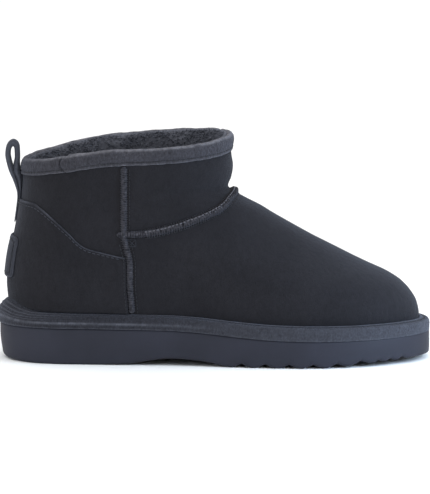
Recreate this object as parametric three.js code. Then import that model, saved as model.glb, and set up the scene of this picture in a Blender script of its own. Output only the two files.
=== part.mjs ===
// A low pull-on sheepskin ankle boot for the right foot. A suede upper, closed by raised seams and bound
// at the collar, stands in a suede-wrapped midsole band on a thick moulded outsole with a rippled tread.
// X runs from heel to toe, Y to the wearer's left and Z up. Sizes are in millimetres.
import * as THREE from 'three';

// Driving sizes of the last and of the sole
const LENGTH = 264; // over the midsole band, heel to toe
const BALL_WIDTH = 102; // over the midsole band, across the ball
const HEEL_HEIGHT = 22.2; // ground to the top of the outsole, under the heel
const TOE_SPRING = 3.4; // ground to the outsole's underside, at the tip of the toe
const ARCH_RISE = 4.4; // ground to the outsole's underside, at the waist
const COLLAR_HEIGHT = 138; // ground to the top of the collar, at the front
const INSTEP_HEIGHT = 98; // ground to the top of the vamp, below the instep seam

// Thicknesses and clearances
const GAP = 0.3; // between pieces that are glued or sewn together
const WALL = 2.6; // sheepskin of the upper, with its wool pressed flat
const LEDGE = 6.6; // from the upper out to the edge of the midsole band
const BAND_HEIGHT = 8.8; // side of the midsole band
const BAND_HEEL = { rise: 5.4, reach: 10.6 }; // how much higher the band's lip climbs behind the heel, and how far on
const SEAT_DEPTH = 5; // how deep the upper stands inside the midsole band
const INSOLE = { thickness: 5.5, side: 4.1, bevel: 1.5 }; // side: upright part of its edge, below the bevel
const OUTSOLE_INSET = { heel: 1.5, toe: 0.2 }; // outsole's top edge, in from the midsole band
const OUTSOLE_DRAFT = { heel: 1.4, toe: -0.1 }; // how far the sidewall leans in towards the ground
const TREAD_EDGE = { side: 1.8, heel: 4.6, toe: 1, reach: 12 }; // rounding under the sidewall, and the ends' reach

// Rippled tread of the forefoot: its grooves' depths, with start and pitch as shares of the length
const RIPPLE = { start: 0.5645, pitch: 0.0553, count: 6, depth: 2.3 };
const TOE_RIPPLE = { pitch: 0.0273, count: 3, depth: 1.6 };
const GROOVE_SHARE = 0.32; // half a groove's width, as a share of the pitch

// Roundness of the plan at its two ends
const HEEL_ROUND = 43; // length of the rounded heel
const TOE_ROUND = 90; // length of the rounded toe
const ROUNDNESS = 2.15; // 2 is an ellipse, and more is squarer

// Suede tape folded over the collar edge. Its ends overlap on the outer side, where it is one layer thicker.
const BINDING = { height: 10, inside: 6, thickness: 1, crown: 1.6, bulge: 0.2 };
const BINDING_JOIN = { end: 53, length: 13, step: 0.6, ramp: 0.6 }; // end: from the back of the boot

// Raised seams, sewn edge to edge. Room is left under them, and the tail runs on behind the side seam.
const SIDE_SEAM = { width: 3.7, height: 1.7, room: 0.3 };
const INSTEP_SEAM = { width: 4.2, height: 2.6, room: 0.5, tail: 2.6 };

// Heel: the counter laid over the back quarters, and a plain patch on it
const COUNTER_THICKNESS = 1;
const PATCH = { bottom: 50, height: 24.8, width: 34, thickness: 1.3, squareness: 8 };

// Pull loop: a folded tape sewn to the back, from its lower end to the top of the loop
const TAPE = { bottom: 83.2, length: 49.1, width: 11, thickness: 2 };

// Numbers of steps around the solids, across and up the overlays, along the seams, and of closing in on a place
const TURNS = 64;
const COUNTER_GRID = { columns: 26, rows: 6 };
const PATCH_GRID = { columns: 12, rows: 5, reach: 0.96 }; // reach: outermost column, as a share of half the width
const SEAM_STEPS = { lower: 9, upper: 7, instep: 44 };
const ROUNDS = 24;

// Plan of the sole: half its width and its sideways shift, as shares of half the ball width.
const SOLE_PLAN = [
  { along: 0.0, half: 0.735, shift: 0.0 },
  { along: 0.15, half: 0.742, shift: 0.0 },
  { along: 0.3, half: 0.742, shift: -0.035 },
  { along: 0.42, half: 0.765, shift: -0.05 },
  { along: 0.55, half: 0.867, shift: -0.043 },
  { along: 0.65, half: 0.965, shift: -0.004 },
  { along: 0.73, half: 1.01, shift: 0.028 },
  { along: 0.82, half: 1.03, shift: 0.065 },
  { along: 0.92, half: 1.01, shift: 0.112 },
  { along: 1.0, half: 0.97, shift: 0.15 },
];

// Profile of the outsole: its top as a share of the heel height, its underside as shares of arch and toe spring.
// Band is the height of the midsole band's side above it, as a share of the band height.
const SOLE_PROFILE = [
  { along: 0.0, top: 1.0, arch: 0.0, spring: 0.0, band: 1.0 },
  { along: 0.22, top: 0.996, arch: 0.0, spring: 0.0, band: 1.0 },
  { along: 0.31, top: 0.988, arch: 0.3, spring: 0.0, band: 1.0 },
  { along: 0.395, top: 0.977, arch: 1.0, spring: 0.0, band: 1.0 },
  { along: 0.475, top: 0.923, arch: 0.7, spring: 0.0, band: 1.0 },
  { along: 0.55, top: 0.841, arch: 0.0, spring: 0.0, band: 1.0 },
  { along: 0.64, top: 0.767, arch: 0.0, spring: 0.0, band: 1.0 },
  { along: 0.74, top: 0.738, arch: 0.0, spring: 0.0, band: 1.0 },
  { along: 0.85, top: 0.736, arch: 0.0, spring: 0.52, band: 1.0 },
  { along: 0.93, top: 0.748, arch: 0.0, spring: 0.84, band: 0.96 },
  { along: 1.0, top: 0.766, arch: 0.0, spring: 1.0, band: 0.855 },
];

// Lines seen from the side, as shares of the length along and of the height that is named up.

// Collar edge, up to the collar height. Tilt is its slope across, by which the inner side stands higher.
const COLLAR_LINE = [
  { along: 0.055, up: 0.882, tilt: 0.0 },
  { along: 0.1, up: 0.897, tilt: 0.005 },
  { along: 0.155, up: 0.918, tilt: 0.01 },
  { along: 0.26, up: 0.954, tilt: 0.024 },
  { along: 0.37, up: 0.969, tilt: 0.038 },
  { along: 0.45, up: 0.982, tilt: 0.052 },
  { along: 0.54, up: 1.0, tilt: 0.07 },
];

// Top edge of the heel counter, up to the instep height.
const COUNTER_LINE = [
  { along: 0.053, up: 0.995 },
  { along: 0.087, up: 0.988 },
  { along: 0.1075, up: 0.955 },
  { along: 0.128, up: 0.91 },
  { along: 0.149, up: 0.86 },
  { along: 0.17, up: 0.808 },
  { along: 0.19, up: 0.753 },
  { along: 0.211, up: 0.72 },
  { along: 0.231, up: 0.705 },
  { along: 0.294, up: 0.667 },
];

// Seam over the instep, up to the instep height. Here along is a share of the upper's own length at that height.
const INSTEP_LINE = [
  { along: 0.33, up: 0.806 },
  { along: 0.378, up: 0.811 },
  { along: 0.465, up: 0.82 },
  { along: 0.589, up: 0.859 },
  { along: 0.67, up: 0.892 },
  { along: 0.765, up: 0.932 },
  { along: 0.868, up: 0.977 },
  { along: 0.946, up: 1.018 },
  { along: 1.0, up: 1.044 },
];

// Side seam, up to the collar height.
const SIDE_SEAM_LINE = [
  { up: 0.23, along: 0.3125 },
  { up: 0.37, along: 0.307 },
  { up: 0.435, along: 0.307 },
  { up: 0.48, along: 0.304 },
  { up: 0.575, along: 0.2936 },
  { up: 1.0, along: 0.2936 },
];

// Fold of the pull loop, from the tape's lower end up, over and down again. Up is a share of the tape's
// length, and lift (of its middle, from the heel's face) and thick are shares of its thickness.
const TAPE_FOLD = [
  { up: 0.0, lift: 0.975, thick: 0.35 },
  { up: 0.15, lift: 0.975, thick: 0.35 },
  { up: 0.28, lift: 0.975, thick: 0.35 },
  { up: 0.36, lift: 1.05, thick: 0.65 },
  { up: 0.44, lift: 1.55, thick: 1.0 },
  { up: 0.52, lift: 2.3, thick: 1.2 },
  { up: 0.68, lift: 4.1, thick: 1.3 },
  { up: 0.83, lift: 5.05, thick: 1.3 },
  { up: 0.93, lift: 4.75, thick: 1.3 },
  { up: 0.98, lift: 4.05, thick: 1.3 },
  { up: 1.0, lift: 3.3, thick: 1.3 },
  { up: 0.98, lift: 2.55, thick: 1.2 },
  { up: 0.93, lift: 2.05, thick: 1.1 },
  { up: 0.87, lift: 1.95, thick: 1.1 },
  { up: 0.8, lift: 2.1, thick: 1.1 },
  { up: 0.72, lift: 2.3, thick: 1.1 },
  { up: 0.64, lift: 2.1, thick: 1.1 },
  { up: 0.56, lift: 1.4, thick: 0.95 },
  { up: 0.49, lift: 0.85, thick: 0.75 },
  { up: 0.41, lift: 0.5, thick: 0.4 },
];

// Level sections of the foot part of the upper. Up is a share of the instep height, back, front and nose
// (the length of the rounded front) are shares of the length. Shaft is half the leg's width as a share of
// half the ball width, blend tells how much a section takes of it, and swell is a share of the ledge.
const FOOT_SECTIONS = [
  { up: 0.18, back: 0.032, front: 0.972, nose: 0.33, shaft: 0.66, blend: 0.0, swell: 0.0 },
  { up: 0.275, back: 0.032, front: 0.975, nose: 0.32, shaft: 0.67, blend: 0.0, swell: 0.1 },
  { up: 0.35, back: 0.03, front: 0.969, nose: 0.305, shaft: 0.68, blend: 0.04, swell: 0.24 },
  { up: 0.415, back: 0.027, front: 0.955, nose: 0.295, shaft: 0.69, blend: 0.11, swell: 0.3 },
  { up: 0.475, back: 0.0255, front: 0.935, nose: 0.295, shaft: 0.695, blend: 0.19, swell: 0.3 },
  { up: 0.53, back: 0.026, front: 0.905, nose: 0.305, shaft: 0.7, blend: 0.28, swell: 0.27 },
  { up: 0.595, back: 0.0285, front: 0.855, nose: 0.335, shaft: 0.71, blend: 0.38, swell: 0.2 },
  { up: 0.665, back: 0.0325, front: 0.802, nose: 0.375, shaft: 0.715, blend: 0.5, swell: 0.12 },
  { up: 0.775, back: 0.0415, front: 0.722, nose: 0.395, shaft: 0.72, blend: 0.68, swell: 0.04 },
  { up: 0.9, back: 0.0495, front: 0.6395, nose: 0.37, shaft: 0.725, blend: 0.87, swell: 0.0 },
  { up: 0.955, back: 0.0523, front: 0.607, nose: 0.335, shaft: 0.728, blend: 0.93, swell: 0.0 },
  { up: 1.0, back: 0.0541, front: 0.575, nose: 0.3, shaft: 0.73, blend: 0.97, swell: 0.0 },
];

// Level sections of the leg part, above the instep. Up is a share of the way from the instep to the collar.
const LEG_SECTIONS = [
  { up: 0.1, back: 0.0554, front: 0.549, nose: 0.265, shaft: 0.733, blend: 1.0, swell: 0.0 },
  { up: 0.19, back: 0.0565, front: 0.5325, nose: 0.24, shaft: 0.737, blend: 1.0, swell: 0.0 },
  { up: 0.33, back: 0.0578, front: 0.539, nose: 0.228, shaft: 0.745, blend: 1.0, swell: 0.0 },
  { up: 0.5, back: 0.0593, front: 0.5425, nose: 0.222, shaft: 0.76, blend: 1.0, swell: 0.0 },
  { up: 0.67, back: 0.0605, front: 0.5385, nose: 0.22, shaft: 0.775, blend: 1.0, swell: 0.0 },
  { up: 0.82, back: 0.0609, front: 0.537, nose: 0.221, shaft: 0.788, blend: 1.0, swell: 0.0 },
  { up: 1.0, back: 0.061, front: 0.5385, nose: 0.222, shaft: 0.8, blend: 1.0, swell: 0.0 },
];

const lerp = THREE.MathUtils.lerp;

// A smooth curve through one column of a table. It never swings past its rows, so level stretches stay level.
function curve(rows, key, column) {
  const x = rows.map((row) => row[key]);
  const y = rows.map((row) => row[column]);
  const last = x.length - 1;
  const secant = x.slice(0, last).map((_, i) => (y[i + 1] - y[i]) / (x[i + 1] - x[i]));
  const tangent = x.map((_, i) => {
    const before = secant[Math.max(i - 1, 0)];
    const after = secant[Math.min(i, last - 1)];
    return before * after <= 0 ? 0 : (2 * before * after) / (before + after);
  });
  return (at) => {
    if (at <= x[0]) return y[0];
    if (at >= x[last]) return y[last];
    const i = x.findIndex((edge) => edge > at) - 1;
    const width = x[i + 1] - x[i];
    const t = (at - x[i]) / width;
    const rise = t * t * (3 - 2 * t);
    const swing = t * (1 - t) * ((1 - t) * tangent[i] - t * tangent[i + 1]) * width;
    return lerp(y[i], y[i + 1], rise) + swing;
  };
}

// Plan of the sole

// Share of the full width that a rounded end leaves at a distance from its tip.
function rounding(distance, length) {
  if (distance >= length) return 1;
  const rest = 1 - Math.max(distance, 0) / length;
  return (1 - rest ** ROUNDNESS) ** (1 / ROUNDNESS);
}

const planHalf = curve(SOLE_PLAN, 'along', 'half');
const planShift = curve(SOLE_PLAN, 'along', 'shift');
const soleBody = (x) => planHalf(x / LENGTH) * (BALL_WIDTH / 2);
const centreLine = (x) => planShift(x / LENGTH) * (BALL_WIDTH / 2);

// Angle 0 is the back of the heel, a half turn is the toe, and the angles between them are the outer side.
const alongAt = (turn) => (1 - Math.cos(turn)) / 2;
const sideOf = (turn) => -Math.sign(Math.round(Math.sin(turn) * 1e6));

function planPoint(along, side, inset, z) {
  const x = lerp(inset, LENGTH - inset, along);
  const half = (soleBody(x) - inset) * rounding(x - inset, HEEL_ROUND) * rounding(LENGTH - inset - x, TOE_ROUND);
  return new THREE.Vector3(x, centreLine(x) + side * half, z);
}

// Heights along the sole

const topShare = curve(SOLE_PROFILE, 'along', 'top');
const archShare = curve(SOLE_PROFILE, 'along', 'arch');
const springShare = curve(SOLE_PROFILE, 'along', 'spring');
const bandShare = curve(SOLE_PROFILE, 'along', 'band');
const collarShare = curve(COLLAR_LINE, 'along', 'up');
const collarTilt = curve(COLLAR_LINE, 'along', 'tilt');
const instepShare = curve(INSTEP_LINE, 'along', 'up');
const counterShare = curve(COUNTER_LINE, 'along', 'up');
const sideSeamShare = curve(SIDE_SEAM_LINE, 'up', 'along');

const outsoleTop = (x) => topShare(x / LENGTH) * HEEL_HEIGHT;
const outsoleBottom = (x) => archShare(x / LENGTH) * ARCH_RISE + springShare(x / LENGTH) * TOE_SPRING;
const collarLine = (x, y = 0) => collarShare(x / LENGTH) * COLLAR_HEIGHT + collarTilt(x / LENGTH) * y;
const edgeLine = (x, y) => collarLine(x, y) - BINDING.crown;
const instepLine = (turn) => instepShare(alongAt(turn)) * INSTEP_HEIGHT;
const counterLine = (x) => counterShare(x / LENGTH) * INSTEP_HEIGHT;
const sideSeamAt = (z) => sideSeamShare(z / COLLAR_HEIGHT) * LENGTH;
const bandTop = (x) => outsoleTop(x) + bandShare(x / LENGTH) * BAND_HEIGHT;
const lipLine = (x) => bandTop(x) + BAND_HEEL.rise * Math.exp(-(((x - LEDGE) / BAND_HEEL.reach) ** 2));
const seatLine = (x) => bandTop(x) - SEAT_DEPTH;
const footLine = (x) => seatLine(x) + GAP;

// Form of the upper

const SECTIONS = [
  ...FOOT_SECTIONS.map((row) => ({ ...row, z: row.up * INSTEP_HEIGHT })),
  ...LEG_SECTIONS.map((row) => ({ ...row, z: lerp(INSTEP_HEIGHT, COLLAR_HEIGHT, row.up) })),
];
const sectionBack = curve(SECTIONS, 'z', 'back');
const sectionFront = curve(SECTIONS, 'z', 'front');
const sectionNose = curve(SECTIONS, 'z', 'nose');
const sectionShaft = curve(SECTIONS, 'z', 'shaft');
const sectionBlend = curve(SECTIONS, 'z', 'blend');
const sectionSwell = curve(SECTIONS, 'z', 'swell');

// Point of the upper's outer face, at an angle around it and a height above the ground.
function form(turn, z) {
  const back = sectionBack(z) * LENGTH;
  const front = sectionFront(z) * LENGTH;
  const x = lerp(back, front, alongAt(turn));
  const foot = soleBody(x) - LEDGE * (1 - sectionSwell(z));
  const body = lerp(foot, sectionShaft(z) * (BALL_WIDTH / 2), sectionBlend(z));
  const half = body * rounding(x - back, HEEL_ROUND) * rounding(front - x, sectionNose(z) * LENGTH);
  return new THREE.Vector3(x, centreLine(x) + sideOf(turn) * half, z);
}

// Directions of the outer face at a point: around the foot for each radian, and up for each millimetre.
function directions(turn, z) {
  const step = 0.01;
  const around = form(turn + step, z).sub(form(turn - step, z)).divideScalar(2 * step);
  const up = form(turn, z + 10 * step).sub(form(turn, z - 10 * step)).divideScalar(20 * step);
  return { around, up, out: around.clone().cross(up).normalize() };
}

// The same point, moved out by lift along the face's normal, or in where lift is negative.
function lifted(turn, z, lift) {
  return form(turn, z).addScaledVector(directions(turn, z).out, lift);
}

// Angle and height of the point that a short way leads to along the outer face.
function slide(turn, z, way) {
  const { around, up } = directions(turn, z);
  const [aa, au, uu] = [around.dot(around), around.dot(up), up.dot(up)];
  const [aw, uw] = [around.dot(way), up.dot(way)];
  const scale = aa * uu - au * au;
  return { turn: turn + (aw * uu - uw * au) / scale, z: z + (uw * aa - aw * au) / scale };
}

// Angle of the outer face's point at a distance along the boot. Side is -1 outside and 1 inside.
function turnAt(x, z, side) {
  const back = sectionBack(z) * LENGTH;
  const front = sectionFront(z) * LENGTH;
  const turn = Math.acos(1 - (2 * (x - back)) / (front - back));
  return side < 0 ? turn : 2 * Math.PI - turn;
}

// Height at which a line of the side view meets the outer face, at an angle.
function heightOn(line, turn) {
  let z = line(LENGTH / 2, 0);
  for (let round = 0; round < ROUNDS; round++) {
    const { x, y } = form(turn, z);
    z = line(x, y);
  }
  return z;
}

const turnsAround = (count) => Array.from({ length: count }, (_, i) => (i / count) * 2 * Math.PI);

// Solids

// Joins loops of points into one closed solid. Its two ends are covered by strips across the first and the
// last loop, or join each other where closed is true.
function loft(loops, closed = false) {
  const size = loops[0].length;
  const index = (loop, step) => (loop % loops.length) * size + (step % size);
  const faces = [];
  const joins = closed ? loops.length : loops.length - 1;
  for (let loop = 0; loop < joins; loop++) {
    for (let step = 0; step < size; step++) {
      faces.push([index(loop, step), index(loop, step + 1), index(loop + 1, step + 1)]);
      faces.push([index(loop, step), index(loop + 1, step + 1), index(loop + 1, step)]);
    }
  }
  if (!closed) {
    const lid = coverStrips(size);
    faces.push(...lid.map(([a, b, c]) => [index(0, c), index(0, b), index(0, a)]));
    faces.push(...lid.map((face) => face.map((step) => index(loops.length - 1, step))));
  }
  return solidGeometry(loops.flat(), faces);
}

function coverStrips(size) {
  const faces = [];
  for (let step = 0; step < size / 2; step++) {
    const across = (size - step) % size;
    const next = size - step - 1;
    if (next !== step + 1 && next !== step) faces.push([step, step + 1, next]);
    if (across !== step && next !== step) faces.push([step, next, across]);
  }
  return faces;
}

// Turns points and faces into a geometry whose faces point out.
function solidGeometry(points, faces) {
  const volume = faces.reduce((sum, [a, b, c]) => {
    return sum + points[a].dot(points[b].clone().cross(points[c]));
  }, 0);
  const outward = volume > 0 ? faces : faces.map(([a, b, c]) => [a, c, b]);
  const geometry = new THREE.BufferGeometry().setFromPoints(points);
  geometry.setIndex(outward.flat());
  geometry.computeVertexNormals();
  return geometry;
}

// Outsole: one moulded piece, with a sidewall that leans in and grooves across the forefoot.

function rippleZones() {
  const toeStart = RIPPLE.start + RIPPLE.pitch * (RIPPLE.count - 1);
  return [
    { first: RIPPLE.start, ...RIPPLE },
    { first: toeStart + (RIPPLE.pitch + TOE_RIPPLE.pitch) / 2, ...TOE_RIPPLE },
  ];
}

// Centre, half width and depth of every groove.
const GROOVES = rippleZones().flatMap((zone) =>
  Array.from({ length: zone.count }, (_, i) => ({
    x: (zone.first + i * zone.pitch) * LENGTH,
    half: zone.pitch * GROOVE_SHARE * LENGTH,
    depth: zone.depth,
  })),
);

function grooveDepth(x) {
  return Math.max(...GROOVES.map((groove) => groove.depth * (1 - Math.abs(x - groove.x) / groove.half)), 0);
}

const STATION_ROOM = 0.004; // between the evenly turned stations and the grooves, as a share of the length

// Stations from heel to toe: evenly turned ones, and three for each groove.
function soleStations() {
  const even = Array.from({ length: TURNS / 2 + 1 }, (_, i) => alongAt((i / TURNS) * 2 * Math.PI));
  const first = (GROOVES[0].x - GROOVES[0].half) / LENGTH;
  const last = (GROOVES.at(-1).x + GROOVES.at(-1).half) / LENGTH;
  const grooved = GROOVES.flatMap(({ x, half }) => [x - half, x, x + half]).map((x) => x / LENGTH);
  const plain = even.filter((along) => along < first - STATION_ROOM || along > last + STATION_ROOM);
  return [...plain, ...grooved].sort((a, b) => a - b);
}

// Inset of the sidewall's foot from its edge, and height above the tread, as shares of the edge's rounding.
const EDGE_ARC = [
  { inset: 1.0, up: 0.0 },
  { inset: 0.5, up: 0.13 },
  { inset: 0.13, up: 0.5 },
  { inset: 0.0, up: 1.0 },
];

function outsole() {
  const stations = soleStations();
  const inner = stations.slice(1, -1);
  const near = (distance) => Math.exp(-((distance / TREAD_EDGE.reach) ** 2));
  const edge = (x) => lerp(lerp(TREAD_EDGE.side, TREAD_EDGE.heel, near(x)), TREAD_EDGE.toe, near(LENGTH - x));
  const ring = (lean, inset, height) => {
    const point = (along, side) => {
      const x = along * LENGTH;
      const top = lerp(OUTSOLE_INSET.heel, OUTSOLE_INSET.toe, along);
      const draft = lean * lerp(OUTSOLE_DRAFT.heel, OUTSOLE_DRAFT.toe, along);
      return planPoint(along, side, top + draft + inset * edge(x), height(x));
    };
    return [
      point(0, 0),
      ...inner.map((along) => point(along, -1)),
      point(1, 0),
      ...inner.map((along) => point(along, 1)).reverse(),
    ];
  };
  const tread = (x) => outsoleBottom(x) + grooveDepth(x);
  return loft([
    ...EDGE_ARC.map(({ inset, up }) => ring(1, inset, (x) => tread(x) + up * edge(x))),
    ring(0, 0, outsoleTop),
  ]);
}

// Midsole band: a platform wrapped in suede. Its lip stands around the foot of the upper.

// Section of the band's side: out is the way from the upper (0) to the edge (1), up is a share of the height.
const BAND_SECTION = [
  { out: 0.82, up: 0.0 },
  { out: 0.97, up: 0.2 },
  { out: 1.0, up: 0.48 },
  { out: 0.92, up: 0.74 },
  { out: 0.66, up: 0.92 },
  { out: 0.3, up: 0.99 },
];

function midsoleBand() {
  const turns = turnsAround(TURNS);
  const side = BAND_SECTION.map(({ out, up }) =>
    turns.map((turn) => {
      const rim = planPoint(alongAt(turn), sideOf(turn), 0, 0);
      const bottom = outsoleTop(rim.x) + GAP;
      const lip = heightOn(lipLine, turn);
      const wall = lifted(turn, lip, GAP);
      return wall.lerp(rim, out).setZ(lerp(bottom, lip, up));
    }),
  );
  const seat = [lipLine, seatLine].map((line) =>
    turns.map((turn) => lifted(turn, heightOn(line, turn), GAP)),
  );
  return loft([...side, ...seat]);
}

// Upper: one hollow shell, open at the collar and underneath. Its rings lie at the heights of the sections.

function upper() {
  const turns = turnsAround(TURNS);
  const bottom = footLine(LENGTH);
  const top = edgeLine(LENGTH);
  const heights = SECTIONS.map((row) => row.z).filter((z) => z > bottom && z < top);
  const shares = [bottom, ...heights, top].map((z) => (z - bottom) / (top - bottom));
  const ring = (share, lift) =>
    turns.map((turn) => {
      const line = share === 1 ? edgeLine : (x) => lerp(footLine(x), edgeLine(x), share);
      const z = heightOn(line, turn);
      const point = lifted(turn, z, lift);
      return share === 0 || share === 1 ? point.setZ(z) : point;
    });
  const outside = shares.map((share) => ring(share, 0));
  const inside = shares.map((share) => ring(share, -WALL)).reverse();
  return loft([...outside, ...inside], true);
}

// Insole: a wool-covered sock that lies inside the foot of the upper.

function insole() {
  const turns = turnsAround(TURNS);
  const ring = (rise, inset) =>
    turns.map((turn) => {
      const z = heightOn((x) => footLine(x) + rise, turn);
      return lifted(turn, z, -(WALL + 2 * GAP + inset));
    });
  return loft([ring(0, 0), ring(INSOLE.side, 0), ring(INSOLE.thickness, INSOLE.bevel)]);
}

// Collar binding. Lift is measured from the upper's outer face, and down from the collar edge.

function collarBinding() {
  const outer = GAP + BINDING.thickness;
  const inner = WALL + GAP + BINDING.thickness;
  const profile = [
    { lift: GAP, down: BINDING.height },
    { lift: outer, down: BINDING.height, doubled: 1 },
    { lift: outer + BINDING.bulge, down: BINDING.height / 2, doubled: 1 },
    { lift: outer, down: BINDING.crown, doubled: 1 },
    { lift: (outer - inner) / 2, down: 0, doubled: 1 },
    { lift: -inner, down: BINDING.crown },
    { lift: -inner - BINDING.bulge, down: BINDING.inside },
    { lift: -WALL - GAP, down: BINDING.inside },
    { lift: -WALL - GAP, down: BINDING.crown - GAP },
    { lift: GAP, down: BINDING.crown - GAP },
  ];
  const ends = [BINDING_JOIN.end - BINDING_JOIN.length, BINDING_JOIN.end];
  const ramps = ends.map((x) => [-0.5, 0.5].map((share) => x + share * BINDING_JOIN.ramp));
  const [first, last] = ramps.map((ramp) => ramp.map((x) => turnAt(x, collarLine(x), -1)));
  const clear = (turn) => [...first, ...last].every((at) => Math.abs(turn - at) > first[1] - first[0]);
  const turns = [...turnsAround(TURNS).filter(clear), ...first, ...last].sort((a, b) => a - b);
  const layer = (turn) => (turn > first[0] && turn < last[1] ? BINDING_JOIN.step : 0);
  return loft(
    profile.map(({ lift, down, doubled = 0 }) =>
      turns.map((turn) => {
        const extra = layer(turn) * doubled;
        const z = heightOn((x, y) => collarLine(x, y) - down + (down === 0 ? extra : 0), turn);
        return lifted(turn, z, lift + (lift > 0 ? extra : 0)).setZ(z);
      }),
    ),
    true,
  );
}

// Overlays and seams on the outer face

// A thin sheet between two lifts. Place gives the angle and height for shares across and up the sheet.
function overlay({ columns, rows }, inner, outer, place) {
  const point = (across, up, lift) => {
    const { turn, z } = place(across, up);
    return lifted(turn, z, lift);
  };
  return loft(
    Array.from({ length: columns + 1 }, (_, column) => {
      const across = column / columns;
      const ups = Array.from({ length: rows + 1 }, (_, row) => row / rows);
      return [
        point(across, 0, (inner + outer) / 2),
        ...ups.map((up) => point(across, up, inner)),
        point(across, 1, (inner + outer) / 2),
        ...ups.map((up) => point(across, up, outer)).reverse(),
      ];
    }),
  );
}

// Section of a raised seam: side is a share of its width, and up a share of its height above the room under it.
const SEAM_SECTION = [
  { side: -0.5, up: 0 },
  { side: -0.42, up: 0.6 },
  { side: -0.2, up: 1 },
  { side: 0.2, up: 1 },
  { side: 0.42, up: 0.6 },
  { side: 0.5, up: 0 },
  { side: 0.3, up: 0 },
  { side: 0.1, up: 0 },
  { side: -0.1, up: 0 },
  { side: -0.3, up: 0 },
];

// A raised seam along a path of angles and heights.
function seam(path, { width, height, room }) {
  return loft(
    path.map(({ turn, z }, i) => {
      const before = path[Math.max(i - 1, 0)];
      const after = path[Math.min(i + 1, path.length - 1)];
      const forward = form(after.turn, after.z).sub(form(before.turn, before.z));
      const sideways = directions(turn, z).out.cross(forward).normalize();
      return SEAM_SECTION.map(({ side, up }) => {
        const spot = slide(turn, z, sideways.clone().multiplyScalar(side * width));
        return lifted(spot.turn, spot.z, lerp(room, height, up));
      });
    }),
  );
}

// Heel counter: it wraps the heel from one side seam to the other.
function heelCounter() {
  const reach = (z) => turnAt(sideSeamAt(z) - SIDE_SEAM.width / 2 - GAP, z, -1);
  return overlay(COUNTER_GRID, GAP, GAP + COUNTER_THICKNESS, (across, up) => {
    let z = HEEL_HEIGHT;
    let turn = 0;
    for (let round = 0; round < ROUNDS; round++) {
      turn = lerp(-1, 1, across) * reach(z);
      const x = form(turn, z).x;
      z = lerp(lipLine(x) + 2 * GAP, counterLine(x), up);
    }
    return { turn, z };
  });
}

// Angle at which the heel's face lies a way to the side of the centre line.
function heelTurn(y, z) {
  let near = 0;
  let far = Math.PI / 2;
  for (let round = 0; round < ROUNDS; round++) {
    const middle = (near + far) / 2;
    const point = form(middle, z);
    if (centreLine(point.x) - point.y < Math.abs(y)) near = middle;
    else far = middle;
  }
  return -Math.sign(y) * near;
}

// Heel patch: it has rounded corners and lies on the counter.
function heelPatch() {
  const inner = COUNTER_THICKNESS + 2 * GAP;
  return overlay(PATCH_GRID, inner, inner + PATCH.thickness, (across, up) => {
    const side = lerp(-1, 1, across) * PATCH_GRID.reach;
    const half = (PATCH.height / 2) * (1 - Math.abs(side) ** PATCH.squareness) ** (1 / PATCH.squareness);
    const z = PATCH.bottom + PATCH.height / 2 + lerp(-half, half, up);
    return { turn: heelTurn((side * PATCH.width) / 2, z), z };
  });
}

// Side seams: each is sewn in two runs, below and above the instep seam.

function sideSeamPath(side, from, to, steps) {
  return Array.from({ length: steps + 1 }, (_, i) => {
    const z = lerp(from, to, i / steps);
    return { turn: turnAt(sideSeamAt(z), z, side), z };
  });
}

// Angle and height at which the instep seam crosses the side seams.
function seamCrossing() {
  let z = INSTEP_HEIGHT;
  for (let round = 0; round < ROUNDS; round++) z = instepLine(turnAt(sideSeamAt(z), z, -1));
  return { turn: turnAt(sideSeamAt(z), z, -1), z };
}

const crossingRoom = INSTEP_SEAM.width / 2 + 2 * GAP;

function sideSeamLower(side) {
  const bottom = lipLine(sideSeamAt(HEEL_HEIGHT)) + 2 * GAP;
  return seam(sideSeamPath(side, bottom, seamCrossing().z - crossingRoom, SEAM_STEPS.lower), SIDE_SEAM);
}

function sideSeamUpper(side) {
  const x = sideSeamAt(COLLAR_HEIGHT);
  const turn = turnAt(x, collarLine(x), side);
  const top = heightOn(collarLine, turn) - BINDING.height - GAP;
  return seam(sideSeamPath(side, seamCrossing().z + crossingRoom, top, SEAM_STEPS.upper), SIDE_SEAM);
}

// Instep seam: it runs from side to side over the instep, and a little way behind the side seams.
function instepSeam() {
  const crossing = seamCrossing();
  const behind = sideSeamAt(crossing.z) - SIDE_SEAM.width / 2 - INSTEP_SEAM.tail;
  const start = turnAt(behind, crossing.z, -1);
  const path = Array.from({ length: SEAM_STEPS.instep + 1 }, (_, i) => {
    const turn = lerp(start, 2 * Math.PI - start, i / SEAM_STEPS.instep);
    return { turn, z: instepLine(turn) };
  });
  return seam(path, INSTEP_SEAM);
}

const TAPE_COLUMNS = [-0.5, -0.25, 0, 0.25, 0.5]; // shares of the tape's width

// Pull loop: one tape, sewn down over the counter, folded over and caught again below the binding.
function pullLoop() {
  const fold = TAPE_FOLD.map(({ up, lift, thick }) => ({
    z: TAPE.bottom + up * TAPE.length,
    lift: lift * TAPE.thickness,
    half: (thick * TAPE.thickness) / 2,
  }));
  const edge = fold.map((spot, i) => {
    const before = fold[Math.max(i - 1, 0)];
    const after = fold[Math.min(i + 1, fold.length - 1)];
    const forward = new THREE.Vector2(after.lift - before.lift, after.z - before.z).normalize();
    return { ...spot, side: new THREE.Vector2(forward.y, -forward.x).multiplyScalar(spot.half) };
  });
  const first = edge[0];
  const last = edge.at(-1);
  const section = [
    { lift: first.lift, z: first.z },
    ...edge.map(({ lift, z, side }) => ({ lift: lift + side.x, z: z + side.y })),
    { lift: last.lift, z: last.z },
    ...edge.map(({ lift, z, side }) => ({ lift: lift - side.x, z: z - side.y })).reverse(),
  ];
  return loft(
    TAPE_COLUMNS.map((column) =>
      section.map(({ lift, z }) => {
        const onHeel = Math.min(z, collarLine(0));
        return lifted(heelTurn(column * TAPE.width, onHeel), onHeel, lift).setZ(z);
      }),
    ),
  );
}

// The whole boot

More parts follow.
